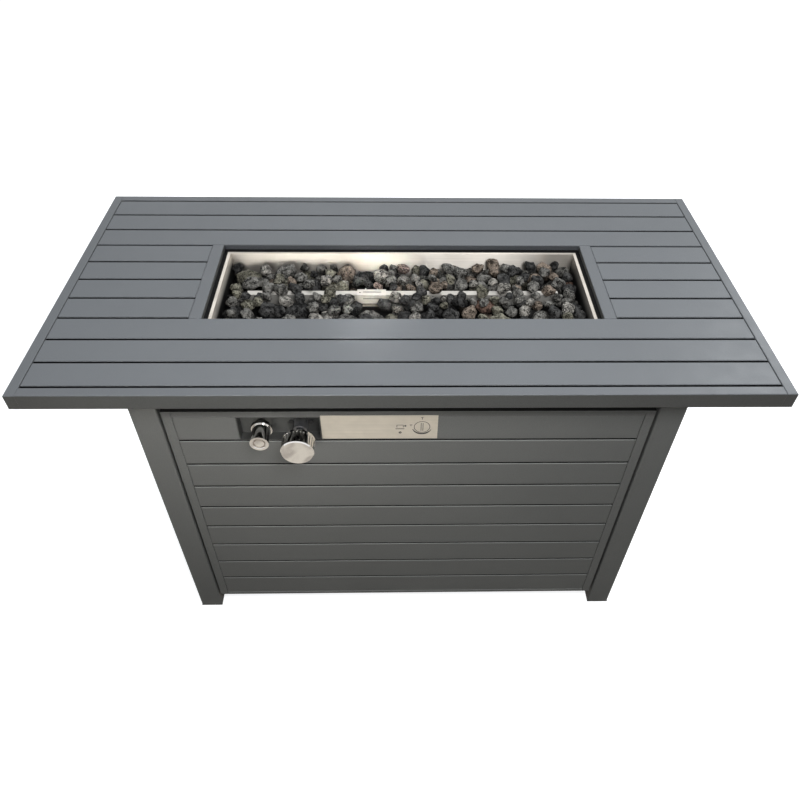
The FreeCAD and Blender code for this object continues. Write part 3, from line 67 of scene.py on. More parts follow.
def make_camera():
    """Camera that shows the table as the photograph does."""
    pitch = math.radians(CAMERA_PITCH)
    yaw = math.radians(CAMERA_YAW)
    roll = math.radians(CAMERA_ROLL)
    ahead = Vector((math.sin(yaw) * math.cos(pitch), math.cos(yaw) * math.cos(pitch), -math.sin(pitch)))
    level = Vector((math.cos(yaw), -math.sin(yaw), 0))
    above = level.cross(ahead)
    right = level * math.cos(roll) + above * math.sin(roll)
    up = above * math.cos(roll) - level * math.sin(roll)
    lens = bpy.data.cameras.new("camera")
    lens.sensor_width = SENSOR_WIDTH
    lens.lens = FOCAL_PIXELS / IMAGE_SIZE * SENSOR_WIDTH
    lens.shift_x = 0.5 - CENTRE_PIXEL[0] / IMAGE_SIZE
    lens.shift_y = CENTRE_PIXEL[1] / IMAGE_SIZE - 0.5
    camera = bpy.data.objects.new("camera", lens)
    turn = Matrix((right, up, -ahead)).transposed().to_4x4()
    camera.matrix_world = Matrix.Translation(CAMERA_PLACE) @ turn
    SCENE.collection.objects.link(camera)
    SCENE.camera = camera


# Materials


def tone(colour, factor=1.0):
    """The colour times a factor, with full alpha."""
    return tuple(channel * factor for channel in colour) + (1.0,)


class Surface:
    """Node tree of one material, with short calls for the nodes that it uses."""

    def __init__(self, name, **shader):
        self.material = bpy.data.materials.new(name)
        self.material.use_nodes = True
        self.tree = self.material.node_tree
        self.shader = self.tree.nodes["Principled BSDF"]
        self.place = self.add("ShaderNodeTexCoord").outputs["Object"]
        for key, value in shader.items():
            self.set(key.replace("_", " ").title().replace("Ior", "IOR"), value)

    def add(self, kind, inputs=(), **settings):
        """Add a node. Each of its inputs is a value or another node's output."""
        node = self.tree.nodes.new(kind)
        for key, value in settings.items():
            setattr(node, key, value)
        for key, value in dict(inputs).items():
            self.feed(node.inputs[key], value)
        return node

    def feed(self, socket, value):
        """Link an output to a socket, or set the socket to a value."""
        if isinstance(value, bpy.types.NodeSocket):
            self.tree.links.new(value, socket)
        else:
            socket.default_value = value

    def set(self, key, value):
        """Feed an input of the shader."""
        self.feed(self.shader.inputs[key], value)

    def true_normal(self):
        """Normal of the flat faces."""
        return self.add("ShaderNodeNewGeometry").outputs["True Normal"]

    def rounded(self, radius):
        """Normal that runs round the sharp edges."""
        return self.add("ShaderNodeBevel", {"Radius": radius}).outputs[0]

    def split(self, vector):
        """X, Y and Z of a vector."""
        return self.add("ShaderNodeSeparateXYZ", {0: vector}).outputs

    def stretched(self, stretch):
        """Place on the object, scaled along each axis."""
        return self.add("ShaderNodeMapping", {"Vector": self.place, "Scale": stretch}).outputs[0]

    def noise(self, scale, detail=2.0, stretch=None, distortion=0.0):
        """Cloudy texture."""
        place = self.stretched(stretch) if stretch else self.place
        return self.add("ShaderNodeTexNoise", {"Vector": place, "Scale": scale, "Detail": detail,
                                               "Distortion": distortion}).outputs[0]

    def cells(self, scale):
        """Distance to the nearest of many scattered points."""
        return self.add("ShaderNodeTexVoronoi", {"Vector": self.place, "Scale": scale},
                        feature="F1").outputs["Distance"]

    def spread(self, value, low, high, start=0.3, end=0.7):
        """Map a texture value from start..end to low..high."""
        return self.add("ShaderNodeMapRange", {"Value": value, "From Min": start, "From Max": end,
                                               "To Min": low, "To Max": high}).outputs[0]

    def maths(self, operation, first, second=0.0):
        """Result of a sum or a comparison."""
        return self.add("ShaderNodeMath", {0: first, 1: second}, operation=operation).outputs[0]

    def size(self, value):
        """The value without its sign."""
        return self.maths("ABSOLUTE", value)

    def mix(self, factor, first, second, blend="MIX"):
        """First colour where the factor is 0, second where it is 1."""
        return self.add("ShaderNodeMix", {0: factor, 6: first, 7: second}, data_type="RGBA",
                        blend_type=blend).outputs[2]

    def times(self, base, colour):
        """Product of two colours."""
        return self.mix(1.0, base, tone(colour), "MULTIPLY")

    def shades(self, texture, colour, dark, pale, start=0.3, end=0.7):
        """The colour in two tones that follow a texture."""
        factor = self.spread(texture, 0.0, 1.0, start, end)
        return self.mix(factor, tone(colour, dark), tone(colour, pale))

    def rough(self, texture, middle, down, up):
        """Set a roughness that follows a texture about its middle value."""
        self.set("Roughness", self.spread(texture, middle - down, middle + up))

    def bump(self, height, distance, strength=1.0, under=None):
        """Normal of a relief, over another normal if one is given."""
        inputs = {"Height": height, "Distance": distance, "Strength": strength}
        if under is not None:
            inputs["Normal"] = under
        return self.add("ShaderNodeBump", inputs).outputs[0]


# Colours are linear, lengths and heights in metres

TOP_COLOUR = (0.157, 0.166, 0.175)
RAIL_COLOUR = (0.138, 0.146, 0.155)
BASE_COLOUR = (0.148, 0.150, 0.143)
# Painted shade: the recess of the controls is the cabinet's coat at half tone
RECESS_SHADE_COLOUR = (0.074, 0.075, 0.0715)
# Painted shade: the ledge at the opening is nearly black
LEDGE_SHADE_COLOUR = (0.01, 0.01, 0.0105)
BLACK = (0.02, 0.02, 0.021)
STEEL_COLOUR = (0.74, 0.69, 0.62)
CHROME_COLOUR = (0.86, 0.85, 0.83)
PLATE_COLOUR = (0.65, 0.60, 0.51)
# Near black of the pan low down and of its painted shadow under the slats
LOW_DARK_AND_SHADE_COLOUR = (0.012, 0.0115, 0.011)
# Painted shade of the pan's right end wall
RIGHT_WALL_SHADE_COLOUR = (0.03, 0.028, 0.026)

# Painted shade: factors of the faces that turn away from the way a piece looks, on the rails' fascia, in
# the grooves, at the opening's lip and in the recess
TOP_UPRIGHT_SHADE = (0.48, 0.465, 0.425)
TOP_GROOVE_SHADE = (0.03, 0.03, 0.03)
OPENING_LIP_SHADE = (0.34, 0.35, 0.37)
PANEL_GROOVE_SHADE = (0.12, 0.12, 0.12)
RECESS_SIDES_SHADE = (0.8, 0.8, 0.8)

TURNED_AWAY = 0.5
EDGE_RADIUS = 0.0015
GRAIN_SCALE = 900.0
GRAIN_DARK = (0.88, 0.88, 0.88)
GRAIN_PALE = (1.12, 1.12, 1.12)
SAND_SCALE = 620.0
SWELL_DEPTH = 0.0006
# Painted shade: undersides of the top's pieces are nearly black
UNDERSIDE_SHADE = 0.15
# Painted shade along the slats' edges next to the grooves
EDGE_SHADE = 0.06
EDGE_SHADE_SHARE = 0.92
EDGE_SHADE_RANGE = (0.78, 0.99)
# Painted highlight on the upper edges of faces that look sideways
UPPER_EDGE_HIGHLIGHT = 1.8
UPPER_EDGE_HIGHLIGHT_RANGE = (0.15, 0.6)
HEAD_SHADE = 0.35
HEAD_SHADE_SHARE = 0.75
HEAD_SHADE_HEIGHTS = (0.542, 0.556)

BRUSH_DEPTH = 0.00002
# Heights where the pan's darkening towards the bottom fades out
LOW_DARK_HEIGHTS = (0.571, 0.588)
LOW_DARK_AND_SHADE_SPECULAR = 0.05
# Painted shade: on the end walls the darkening starts this much further up
END_WALL_SHADE_RISE = 0.026
# Painted shade of the pan's right end wall, by the way its face turns
RIGHT_WALL_SHADE_SHARE = 0.75
RIGHT_WALL_SHADE_RANGE = (-0.9, -0.5)
# Outside this seam the pan lies under the slats, painted black as their shadow
SEAM = (0.2990, 0.0945)
SKIN = 0.0004
# Painted shade: tone of the steel inside the bar and guard and under the guard
COVERED_SHADE = 0.02

PORE_SCALE = 250.0
PINHOLE_SCALE = 620.0
# Painted shade: tone of the pores and of the bed low down
PORE_AND_BED_SHADE_TONE = 0.12
CRYSTAL_TONE = 2.6
BED_SHADE_HEIGHTS = (0.583, 0.607)
BED_SHADE_LEAST = 0.08


def powder_coat(name, colour, roughness, grain, specular=0.4, face=None, others=(1, 1, 1), lip=None,
                edged=False, shaded=False):
    """Sand-textured powder coat over softly rounded edges: slow drifts of tone and fine grain.

    Where face names an axis, the faces turned another way, such as those in the grooves, take a darker
    factor as painted shade, and the undersides are painted nearly black as shade. Nearer the middle
    than lip that painted shade is lighter. Faces with the edge option have shade painted dark along
    their edges next to the grooves, shaded ones have a painted shadow of the top's overhang high up,
    and the upper edges of those that look sideways carry a painted highlight."""
    look = Surface(name, specular_ior_level=specular)
    rounded = look.rounded(EDGE_RADIUS)
    base = look.shades(look.noise(4.0, 3.0), colour, 0.96, 1.04)
    fine = look.spread(look.noise(GRAIN_SCALE, 3.0), 0.0, 1.0)
    base = look.mix(fine, look.times(base, GRAIN_DARK), look.times(base, GRAIN_PALE))
    if face:
        normal = look.true_normal()
        turned = look.split(normal)[face]
        if face != "Z":
            turned = look.size(turned)
        outward = look.maths("GREATER_THAN", turned, TURNED_AWAY)
        # Painted shade: faces turned away, such as those in the grooves, take a darker factor
        shaded_inner = look.times(base, others)
        if lip:
            # Painted shade at the opening's lip, lighter than in the grooves
            near = look.maths("LESS_THAN", look.size(look.split(look.place)["Y"]), lip)
            shaded_inner = look.mix(near, shaded_inner, look.times(base, OPENING_LIP_SHADE))
        # Painted shade: undersides nearly black
        if face == "Z":
            below = look.maths("LESS_THAN", turned, -TURNED_AWAY)
            shaded_inner = look.mix(below, shaded_inner, tone(colour, UNDERSIDE_SHADE))
        # Painted shade along the slats' edges next to the grooves
        if edged:
            facing = look.add("ShaderNodeVectorMath", {0: rounded, 1: normal}, operation="DOT_PRODUCT")
            edge = look.spread(facing.outputs["Value"], EDGE_SHADE_SHARE, 0.0, *EDGE_SHADE_RANGE)
            base = look.mix(edge, base, tone(colour, EDGE_SHADE))
        # Painted highlight on the upper edges of faces that look sideways
        if face != "Z":
            upper = look.spread(look.split(rounded)["Z"], 0.0, 1.0, *UPPER_EDGE_HIGHLIGHT_RANGE)
            base = look.mix(upper, base, tone(colour, UPPER_EDGE_HIGHLIGHT))
        if shaded:
            height = look.split(look.place)["Z"]
            shade = look.spread(height, 0.0, HEAD_SHADE_SHARE, *HEAD_SHADE_HEIGHTS)
            base = look.mix(shade, base, tone(colour, HEAD_SHADE))
        base = look.mix(outward, shaded_inner, base)
    look.set("Base Color", base)
    look.rough(look.noise(40.0, 2.0), roughness, 0.04, 0.04)
    sand = look.bump(look.noise(SAND_SCALE, 2.0), grain, 0.7, rounded)
    look.set("Normal", look.bump(look.noise(9.0, 2.0), SWELL_DEPTH, 0.12, sand))
    return look.material


def brushed(name, colour, roughness, low_dark_heights=None):
    """Metal brushed along its long side, with smudges and highlights drawn out across the lines.

    The given range of heights is where a darkening towards the bottom fades out, and it starts further up
    on the end walls as painted shade. Such metal is painted black outside the seam, as the shadow of the
    slats over it, and its right end wall carries painted shade."""
    look = Surface(name, metallic=1.0, anisotropic=1.0)
    upright = look.noise(1.0, 4.0, (6.0, 6.0, 1500.0))
    flat = look.noise(1.0, 4.0, (6.0, 1500.0, 6.0))
    normal = look.true_normal()
    turned = look.split(normal)
    level = look.maths("GREATER_THAN", look.size(turned["Z"]), TURNED_AWAY)
    endwise = look.maths("GREATER_THAN", look.size(turned["X"]), TURNED_AWAY)
    lines = look.add("ShaderNodeMix", {0: level, 2: upright, 3: flat}).outputs[0]
    grain = look.add("ShaderNodeMix", {0: endwise, 4: (1, 0, 0), 5: (0, 1, 0)},
                     data_type="VECTOR").outputs[1]
    across = look.add("ShaderNodeVectorMath", {0: normal, 1: grain},
                      operation="CROSS_PRODUCT").outputs[0]
    smudge = look.noise(14.0, 4.0, distortion=0.6)
    base = look.shades(lines, colour, 0.88, 1.06)
    base = look.mix(look.spread(smudge, 0.0, 0.35), base, tone(colour, 0.72))
    if low_dark_heights:
        # The pan turns darker towards the bottom
        spot = look.split(look.place)
        # Painted shade: on the end walls the darkening starts further up
        higher = look.maths("MULTIPLY", endwise, END_WALL_SHADE_RISE)
        low_dark = look.spread(look.maths("SUBTRACT", spot["Z"], higher), 1.0, 0.0, *low_dark_heights)
        # Painted shadow of the slats: the pan is black outside the seam
        under_slats_x = look.maths("GREATER_THAN", look.size(spot["X"]), SEAM[0])
        under_slats_y = look.maths("GREATER_THAN", look.size(spot["Y"]), SEAM[1])
        black = look.maths("MAXIMUM", low_dark, look.maths("MAXIMUM", under_slats_x, under_slats_y))
        # Painted shade on the right end wall
        right_wall_shade = look.spread(turned["X"], RIGHT_WALL_SHADE_SHARE, 0.0, *RIGHT_WALL_SHADE_RANGE)
        base = look.mix(right_wall_shade, base, tone(RIGHT_WALL_SHADE_COLOUR))
        base = look.mix(black, base, tone(LOW_DARK_AND_SHADE_COLOUR))
        look.set("Metallic", look.spread(black, 1.0, 0.0, 0.0, 1.0))
        look.set("Specular IOR Level", LOW_DARK_AND_SHADE_SPECULAR)
    look.set("Base Color", base)
    look.rough(smudge, roughness, 0.06, 0.08)
    look.set("Normal", look.bump(lines, BRUSH_DEPTH, 0.6))
    look.set("Tangent", across)
    return look.material


def satin(name, colour, roughness, metallic=0.45, node=None, under=None):
    """Brushed steel that heat has dulled to a pale satin.

    Inside the box of node it is painted black as shade, and so it is right under the node that under
    names, as its painted shadow."""
    look = Surface(name, metallic=metallic, specular_ior_level=0.4)
    lines = look.noise(1.0, 4.0, (8.0, 900.0, 900.0))
    smudge = look.noise(40.0, 4.0, distortion=0.5)
    base = look.shades(lines, colour, 0.9, 1.05)
    base = look.mix(look.spread(smudge, 0.0, 0.4), base, tone(colour, 0.78))
    spot = look.split(look.place)
    shade_masks = []
    # Painted shade inside the node's box and painted shadow under the other node
    if node:
        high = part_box(node)[1]
        across = look.maths("LESS_THAN", look.size(spot["Y"]), high.y - SKIN)
        below = look.maths("LESS_THAN", spot["Z"], high.z - SKIN)
        shade_masks.append(look.maths("MULTIPLY", across, below))
    if under:
        low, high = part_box(under)
        aside = look.maths("SUBTRACT", spot["X"], (low.x + high.x) / 2)
        shade_masks.append(look.maths("LESS_THAN", look.size(aside), (high.x - low.x) / 2))
    for shade_mask in shade_masks:
        base = look.mix(shade_mask, base, tone(colour, COVERED_SHADE))
    look.set("Base Color", base)
    look.rough(smudge, roughness, 0.05, 0.08)
    look.set("Normal", look.bump(lines, BRUSH_DEPTH, 0.5, look.rounded(EDGE_RADIUS / 2)))
    return look.material


def zinc_plate(name, colour):
    """Zinc-plated sheet: pale spangles under a dull, slightly blue skin."""
    look = Surface(name, metallic=1.0)
    spangle = look.add("ShaderNodeTexVoronoi", {"Vector": look.place, "Scale": 160.0}).outputs["Color"]
    grey = look.add("ShaderNodeRGBToBW", {0: spangle}).outputs[0]
    look.set("Base Color", look.shades(grey, colour, 0.85, 1.1, 0.2, 0.8))
    look.set("Roughness", look.spread(look.noise(60.0, 3.0), 0.34, 0.5))
    look.set("Normal", look.bump(look.noise(400.0, 2.0), BRUSH_DEPTH, 0.4))
    return look.material


def chrome(name, colour, waves=45.0, depth=0.00015):
    """Polished plating with a trace of ripple and fingerprints."""
    look = Surface(name, metallic=1.0)
    smear = look.noise(90.0, 4.0, distortion=0.8)
    look.set("Base Color", look.shades(smear, colour, 0.94, 1.0))
    look.set("Roughness", look.spread(smear, 0.03, 0.09))
    look.set("Normal", look.bump(look.noise(waves, 1.0), depth, 0.25))
    return look.material


def turned_metal(name, colour, roughness):
    """Machined or cast fitting with fine tool marks and duller patches."""
    look = Surface(name, metallic=1.0)
    marks = look.noise(700.0, 3.0)
    patch = look.noise(70.0, 3.0)
    look.set("Base Color", look.shades(patch, colour, 0.78, 1.05))
    look.rough(marks, roughness, 0.08, 0.1)
    look.set("Normal", look.bump(marks, 0.00004, 0.5))
    return look.material


def moulded(name, colour, roughness, specular=0.5):
    """Moulded plastic, rubber or glazed ceramic: even colour under a slight grain."""
    look = Surface(name, specular_ior_level=specular)
    patch = look.noise(60.0, 3.0)
    look.set("Base Color", look.shades(patch, colour, 0.88, 1.08))
    look.rough(patch, roughness, 0.05, 0.05)
    look.set("Normal", look.bump(look.noise(500.0, 2.0), 0.00003, 0.5))
    return look.material


def lava(name, dark, pale, speckle):
    """Porous volcanic rock: two tones, pale crystals and two sizes of open pore painted dark as the shade
    in them, with painted shade low down in the bed.
    """
    look = Surface(name, specular_ior_level=0.03)
    cloud = look.noise(90.0, 5.0, distortion=0.5)
    base = look.mix(look.spread(cloud, 0.0, 1.0, 0.38, 0.62), tone(dark), tone(pale))
    crystal = look.spread(look.noise(520.0, 2.0), 0.0, speckle, 0.56, 0.68)
    base = look.mix(crystal, base, tone(pale, CRYSTAL_TONE))
    swell = look.spread(look.noise(140.0, 1.0), -0.16, 0.16)
    # Pores painted dark as the shade in them
    pores = look.maths("ADD", look.cells(PORE_SCALE), swell)
    pinholes = look.cells(PINHOLE_SCALE)
    hollow = look.spread(pores, 0.75, 0.0, 0.24, 0.36)
    fine = look.spread(pinholes, 0.6, 0.0, 0.22, 0.38)
    base = look.mix(look.maths("MAXIMUM", hollow, fine), base, tone(dark, PORE_AND_BED_SHADE_TONE))
    # Painted shade low down in the bed
    lit = look.spread(look.split(look.place)["Z"], BED_SHADE_LEAST, 1.0, *BED_SHADE_HEIGHTS)
    look.set("Base Color", look.mix(lit, tone(dark, PORE_AND_BED_SHADE_TONE), base))
    look.set("Roughness", look.spread(cloud, 0.78, 0.95))
    deep = look.bump(look.spread(pores, 0.0, 1.0, 0.16, 0.36), 0.0012, 0.9)
    look.set("Normal", look.bump(look.spread(pinholes, 0.0, 1.0, 0.14, 0.4), 0.0004, 0.8, deep))
    return look.material


def top_coat(name, colour, specular, others, **details):
    """Powder coat of the top, whose pieces look up."""
    return powder_coat(name, colour, 0.42, 0.00016, specular, "Z", others, **details)


def base_coat(name, colour=BASE_COLOUR, **details):
    """Duller and finer powder coat of the cabinet."""
    return powder_coat(name, colour, 0.5, 0.00012, 0.15, **details)


def make_slot_materials():
    """One material for each slot of the record."""
    return {
        # Painted shade: the rails' fascia and other faces that don't look up are darker and warmer
        "top_coat": top_coat("top_coat", RAIL_COLOUR, 0.3, TOP_UPRIGHT_SHADE),
        "base_coat": base_coat("base_coat"),
        "bright_steel": brushed("bright_steel", STEEL_COLOUR, 0.38),
        "zinc_steel": zinc_plate("zinc_steel", (0.52, 0.54, 0.56)),
        "chrome_trim": chrome("chrome_trim", CHROME_COLOUR),
        "brass_fitting": turned_metal("brass_fitting", (0.75, 0.52, 0.22), 0.3),
        "cast_valve": turned_metal("cast_valve", (0.42, 0.42, 0.43), 0.48),
        "champagne_plate": satin("champagne_plate", PLATE_COLOUR, 0.45),
        "lava_rock": lava("lava_rock", BLACK, (0.07, 0.07, 0.068), 0.3),
        "black_steel": powder_coat("black_steel", BLACK, 0.45, 0.00002),
        "black_plastic": moulded("black_plastic", BLACK, 0.4),
        "white_ceramic": moulded("white_ceramic", (0.82, 0.8, 0.75), 0.25),
        "lead_jacket": moulded("lead_jacket", (0.5, 0.1, 0.03), 0.45, 0.4),
        "copper_lead": turned_metal("copper_lead", (0.62, 0.32, 0.18), 0.35),
        "glide_rubber": moulded("glide_rubber", (0.018, 0.018, 0.018), 0.6, 0.3),
    }


def make_node_materials():
    """Looks of single nodes that differ from the rest of their slot."""
    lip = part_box("long_slats_back")[0].y + EDGE_RADIUS
    # Painted shade: the ledge at the opening is nearly black
    ledge = powder_coat("ledge_shade_coat", LEDGE_SHADE_COLOUR, 0.6, 0.00005, 0.1)
    # Painted shade: the top slats' groove faces are nearly black
    slats = top_coat("top_slat_coat", TOP_COLOUR, 0.22, TOP_GROOVE_SHADE, edged=True)
    long_slats = top_coat("long_slat_coat", TOP_COLOUR, 0.22, TOP_GROOVE_SHADE, lip=lip, edged=True)
    # Painted shade in the panel grooves, and a painted shadow of the top's overhang high up
    facing = base_coat("panel_coat", face="Y", others=PANEL_GROOVE_SHADE, shaded=True)
    sideways = base_coat("side_panel_coat", face="X", others=PANEL_GROOVE_SHADE)
    # Pan steel, darker towards the bottom, with painted shade and painted shadow
    shaded_pan = brushed("shaded_pan_steel", STEEL_COLOUR, 0.38, LOW_DARK_HEIGHTS)
    # Painted shade: darker coat and sides in the recess of the controls
    recess = base_coat("recess_shade_coat", RECESS_SHADE_COLOUR, face="Y", others=RECESS_SIDES_SHADE)
    rippled = chrome("rippled_chrome", CHROME_COLOUR, 42.0, 0.0009)
    dulled = satin("dulled_steel", (0.54, 0.515, 0.47), 0.42, 0.45, "burner_bar", "pilot_guard")
    pale = satin("pale_steel", (0.60, 0.57, 0.52), 0.45, 0.1, "pilot_guard")
    return {
        "long_slats_back": long_slats, "long_slats_front": long_slats, "short_slats": slats,
        "front_slats": facing, "front_frame": facing, "back_slats": facing, "back_frame": facing,
        "left_slats": sideways, "left_frame": sideways, "door_slats": sideways, "door_frame": sideways,
        "burner_bar": dulled, "pilot_guard": pale, "burner_pan": shaded_pan, "control_box": recess,
        "control_knob": rippled, "opening_ledge": ledge,
    }


def dress_frame(by_slot, by_node):
    """Give every node of the frame its material."""
    for entry in frame["record"]["subparts"]:
        name = entry["node"]
        materials = NODES[name].data.materials
        materials.clear()
        materials.append(by_node.get(name, by_slot[entry["material_slot"]]))


# Lava stones

# dark and pale tone, share of crystals, weight in the draw
STONE_KINDS = {
    "lava_black": ((0.013, 0.013, 0.013), (0.09, 0.088, 0.085), 0.25, 28),
    "lava_grey": ((0.030, 0.029, 0.0265), (0.24, 0.23, 0.21), 0.4, 38),
    "lava_speckled": ((0.05, 0.048, 0.044), (0.40, 0.375, 0.335), 0.5, 9),
    "lava_olive": ((0.034, 0.032, 0.025), (0.27, 0.255, 0.20), 0.4, 11),
    "lava_brown": ((0.042, 0.034, 0.027), (0.31, 0.25, 0.20), 0.35, 10),
    "lava_red": ((0.05, 0.032, 0.026), (0.24, 0.155, 0.12), 0.3, 2),
    "lava_pink": ((0.10, 0.078, 0.068), (0.44, 0.33, 0.285), 0.4, 2),
}
SEED = 4
UNDER_STONES = ("burner_bar", "burner_pan", "pilot_guard", "burner_feet")
JOINED = 1e-6

# Broken surface: lumps are parts of the stone's size, pits have one depth
ROUNDING = 26
SHARPEST = 1.35
LUMP_SCALE = 70.0
LUMP_NOISE = (0.8, 2.1, 5)
LUMP_MIDDLE = 0.3
BLOCK_LUMPS = 0.13
SMALL_LUMPS = 0.15
PIT_SCALE = 190.0
PIT_REACH = 0.38
PIT_DEPTH = 0.0013
NOISE_SHIFT = 9

# Small stones: side planes turned by a golden angle, and a plane at each end
FLATNESS = 0.76
SIDES = 11
SIDE_SLOPE = 0.75
SIDE_TURN = 0.382
SLOPE_PLAY = 0.25
TURN_PLAY = 0.3
SIDE_REACH = (0.7, 1.0)
END_REACH = (0.8, 1.0)
ENDS = ((0.2, 0.1, 1.0), (-0.1, 0.15, -1.0))

# Where they may lie: the lowest of some tries, under a height limit
TRIES = 24
PROBE_RINGS = (0.0, 0.5, 0.85)
PROBES = 8
PROBE_START = 1.0
SETTLING = 0.15
STONE_LIMIT = 0.619
GUARD_ROOM = 0.022
GUARD_VIEW = 0.062
GUARD_LIMIT = 0.598
LEFT_LIMIT = 0.606
LEFT_END = 0.02
BACK_ROW = 0.04
# count, radii, x from and to, y from and to
FILLS = (
    (190, (0.0075, 0.0135), (-0.276, 0.282), (-0.084, 0.084)),
    (75, (0.008, 0.0125), (-0.262, -0.082), (-0.038, -0.013)),
    (105, (0.008, 0.0125), (-0.022, 0.268), (-0.038, -0.013)),
    (40, (0.008, 0.013), (-0.262, 0.268), (0.014, 0.034)),
    (26, (0.0095, 0.015), (0.045, 0.262), (0.050, 0.074)),
    (34, (0.007, 0.011), (-0.245, -0.085), (-0.024, -0.016)),
    (56, (0.007, 0.011), (-0.018, 0.250), (-0.024, -0.016)),
)
# x, y and radius
BAR_STONES = ((-0.221, 0.003, 0.0115), (-0.199, -0.005, 0.0125), (-0.176, 0.002, 0.0115),
              (-0.118, -0.006, 0.0105), (0.030, -0.005, 0.0105), (0.052, 0.002, 0.0125),
              (0.128, -0.005, 0.0115), (0.163, 0.002, 0.0125), (0.186, -0.005, 0.0105),
              (0.213, 0.004, 0.0125), (0.238, -0.004, 0.0115))


def unit_ball(levels):
    """Directions and triangles of an evenly divided ball."""
    ball = bmesh.new()
    bmesh.ops.create_icosphere(ball, subdivisions=levels, radius=1.0)
    ball.verts.ensure_lookup_table()
    directions = np.array([v.co[:] for v in ball.verts])
    triangles = np.array([[v.index for v in f.verts] for f in ball.faces])
    ball.free()
    return directions, triangles


def blocks_of(node):
    """Centre, face normals and face distances of each separate solid of a node."""
    mesh = bmesh.new()
    mesh.from_mesh(node.data)
    bmesh.ops.remove_doubles(mesh, verts=mesh.verts, dist=JOINED)
    mesh.faces.ensure_lookup_table()
    seen = set()
    blocks = []
    for start in mesh.faces:
        if start.index in seen:
            continue
        island = [start]
        seen.add(start.index)
        for face in island:
            for edge in face.edges:
                for other in edge.link_faces:
                    if other.index not in seen:
                        seen.add(other.index)
                        island.append(other)
        # A dict keeps its order, so that the sum is the same in each run
        corners = dict.fromkeys(v for f in island for v in f.verts)
        centre = sum((v.co for v in corners), Vector()) / len(corners)
        normals = np.array([f.normal[:] for f in island])
        reaches = np.array([f.normal.dot(f.verts[0].co - centre) for f in island])
        blocks.append((centre, normals, reaches))
    mesh.free()
    return blocks


def reach_of(directions, normals, reaches):
    """Distance from the centre to the block's surface, with its edges rounded off."""
    slopes = np.clip(directions @ normals.T, 0.0, None) / reaches
    return (slopes ** ROUNDING).sum(axis=1) ** (-1 / ROUNDING)


def roughen(centre, directions, reach, lumps, offset):
    """Break up a smooth stone with lumps and hollows."""
    size = float(reach.mean())
    points = []
    for direction, length in zip(directions, reach):
        along = Vector(direction)
        spot = along * length + centre + offset
        lump = noise.fractal(spot * LUMP_SCALE, *LUMP_NOISE)
        pit = noise.voronoi(spot * PIT_SCALE)[0][0]
        length += size * lumps * (lump - LUMP_MIDDLE) - PIT_DEPTH * max(0.0, 1.0 - pit / PIT_REACH)
        points.append((centre + along * length)[:])
    return points


def small_stone(rng, radius):
    """Face planes of a small broken stone about its own centre, lower than it is wide."""
    normals = []
    reaches = []
    turn = rng.uniform(0.0, math.tau)
    for step in range(SIDES):
        slope = (step % 3 - 1) * SIDE_SLOPE + rng.uniform(-SLOPE_PLAY, SLOPE_PLAY)
        angle = turn + step * math.tau * SIDE_TURN + rng.uniform(-TURN_PLAY, TURN_PLAY)
        normal = Vector((math.cos(angle), math.sin(angle), slope)).normalized()
        width = math.hypot(math.hypot(normal.x, normal.y), normal.z * FLATNESS)
        normals.append(normal[:])
        reaches.append(radius * width * rng.uniform(*SIDE_REACH))
    for normal in ENDS:
        normals.append(Vector(normal).normalized()[:])
        reaches.append(radius * FLATNESS * rng.uniform(*END_REACH))
    return np.array(normals), np.array(reaches)


def rest_on(tree, placed, x, y, radius):
    """Height at which a small stone rests on the bed and its neighbours."""
    height = 0.0
    for ring in PROBE_RINGS:
        for step in range(PROBES if ring else 1):
            angle = math.tau * step / PROBES
            dx = ring * radius * math.cos(angle)
            dy = ring * radius * math.sin(angle)
            hit = tree.ray_cast(Vector((x + dx, y + dy, PROBE_START)), Vector((0, 0, -1)))[0]
            if hit:
                height = max(height, hit.z + FLATNESS * math.sqrt(radius ** 2 * (1 - ring ** 2)))
    for ox, oy, oz, other in placed:
        apart = math.hypot(x - ox, y - oy)
        if apart < radius + other:
            height = max(height, oz + FLATNESS * math.sqrt((radius + other) ** 2 - apart ** 2))
    return height


def bed_tree(points, faces):
    """Search tree of the stones made so far and the burner under them."""
    corners = [Vector(p) for p in points]
    polygons = [tuple(f) for f in faces]
    for node in (NODES[name] for name in UNDER_STONES):
        start = len(corners)
        corners.extend(v.co.copy() for v in node.data.vertices)
        polygons.extend(tuple(i + start for i in p.vertices) for p in node.data.polygons)
    return BVHTree.FromPolygons(corners, polygons)


def scatter(rng, tree):
    """Place, height and radius of every small stone."""
    guard_low, guard_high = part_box("pilot_guard")
    placed = []
    for x, y, radius in BAR_STONES:
        placed.append((x, y, rest_on(tree, placed, x, y, radius), radius))
    for count, radii, across, along in FILLS:
        for _ in range(count):
            radius = rng.uniform(*radii)
            options = []
            for _ in range(TRIES):
                x = rng.uniform(*across)
                y = rng.uniform(*along)
                in_guard = (guard_low.x - radius < x < guard_high.x + radius
                            and guard_low.y - GUARD_ROOM - radius < y < guard_high.y + radius)
                if not in_guard:
                    options.append((rest_on(tree, placed, x, y, radius), x, y))
            height, x, y = min(options)
            if guard_low.x - radius < x < guard_high.x + radius and -GUARD_VIEW < y < 0:
                limit = GUARD_LIMIT
            elif x < LEFT_END and y > BACK_ROW:
                limit = LEFT_LIMIT
            else:
                limit = STONE_LIMIT
            if height + FLATNESS * radius < limit:
                placed.append((x, y, height, radius))
    return placed


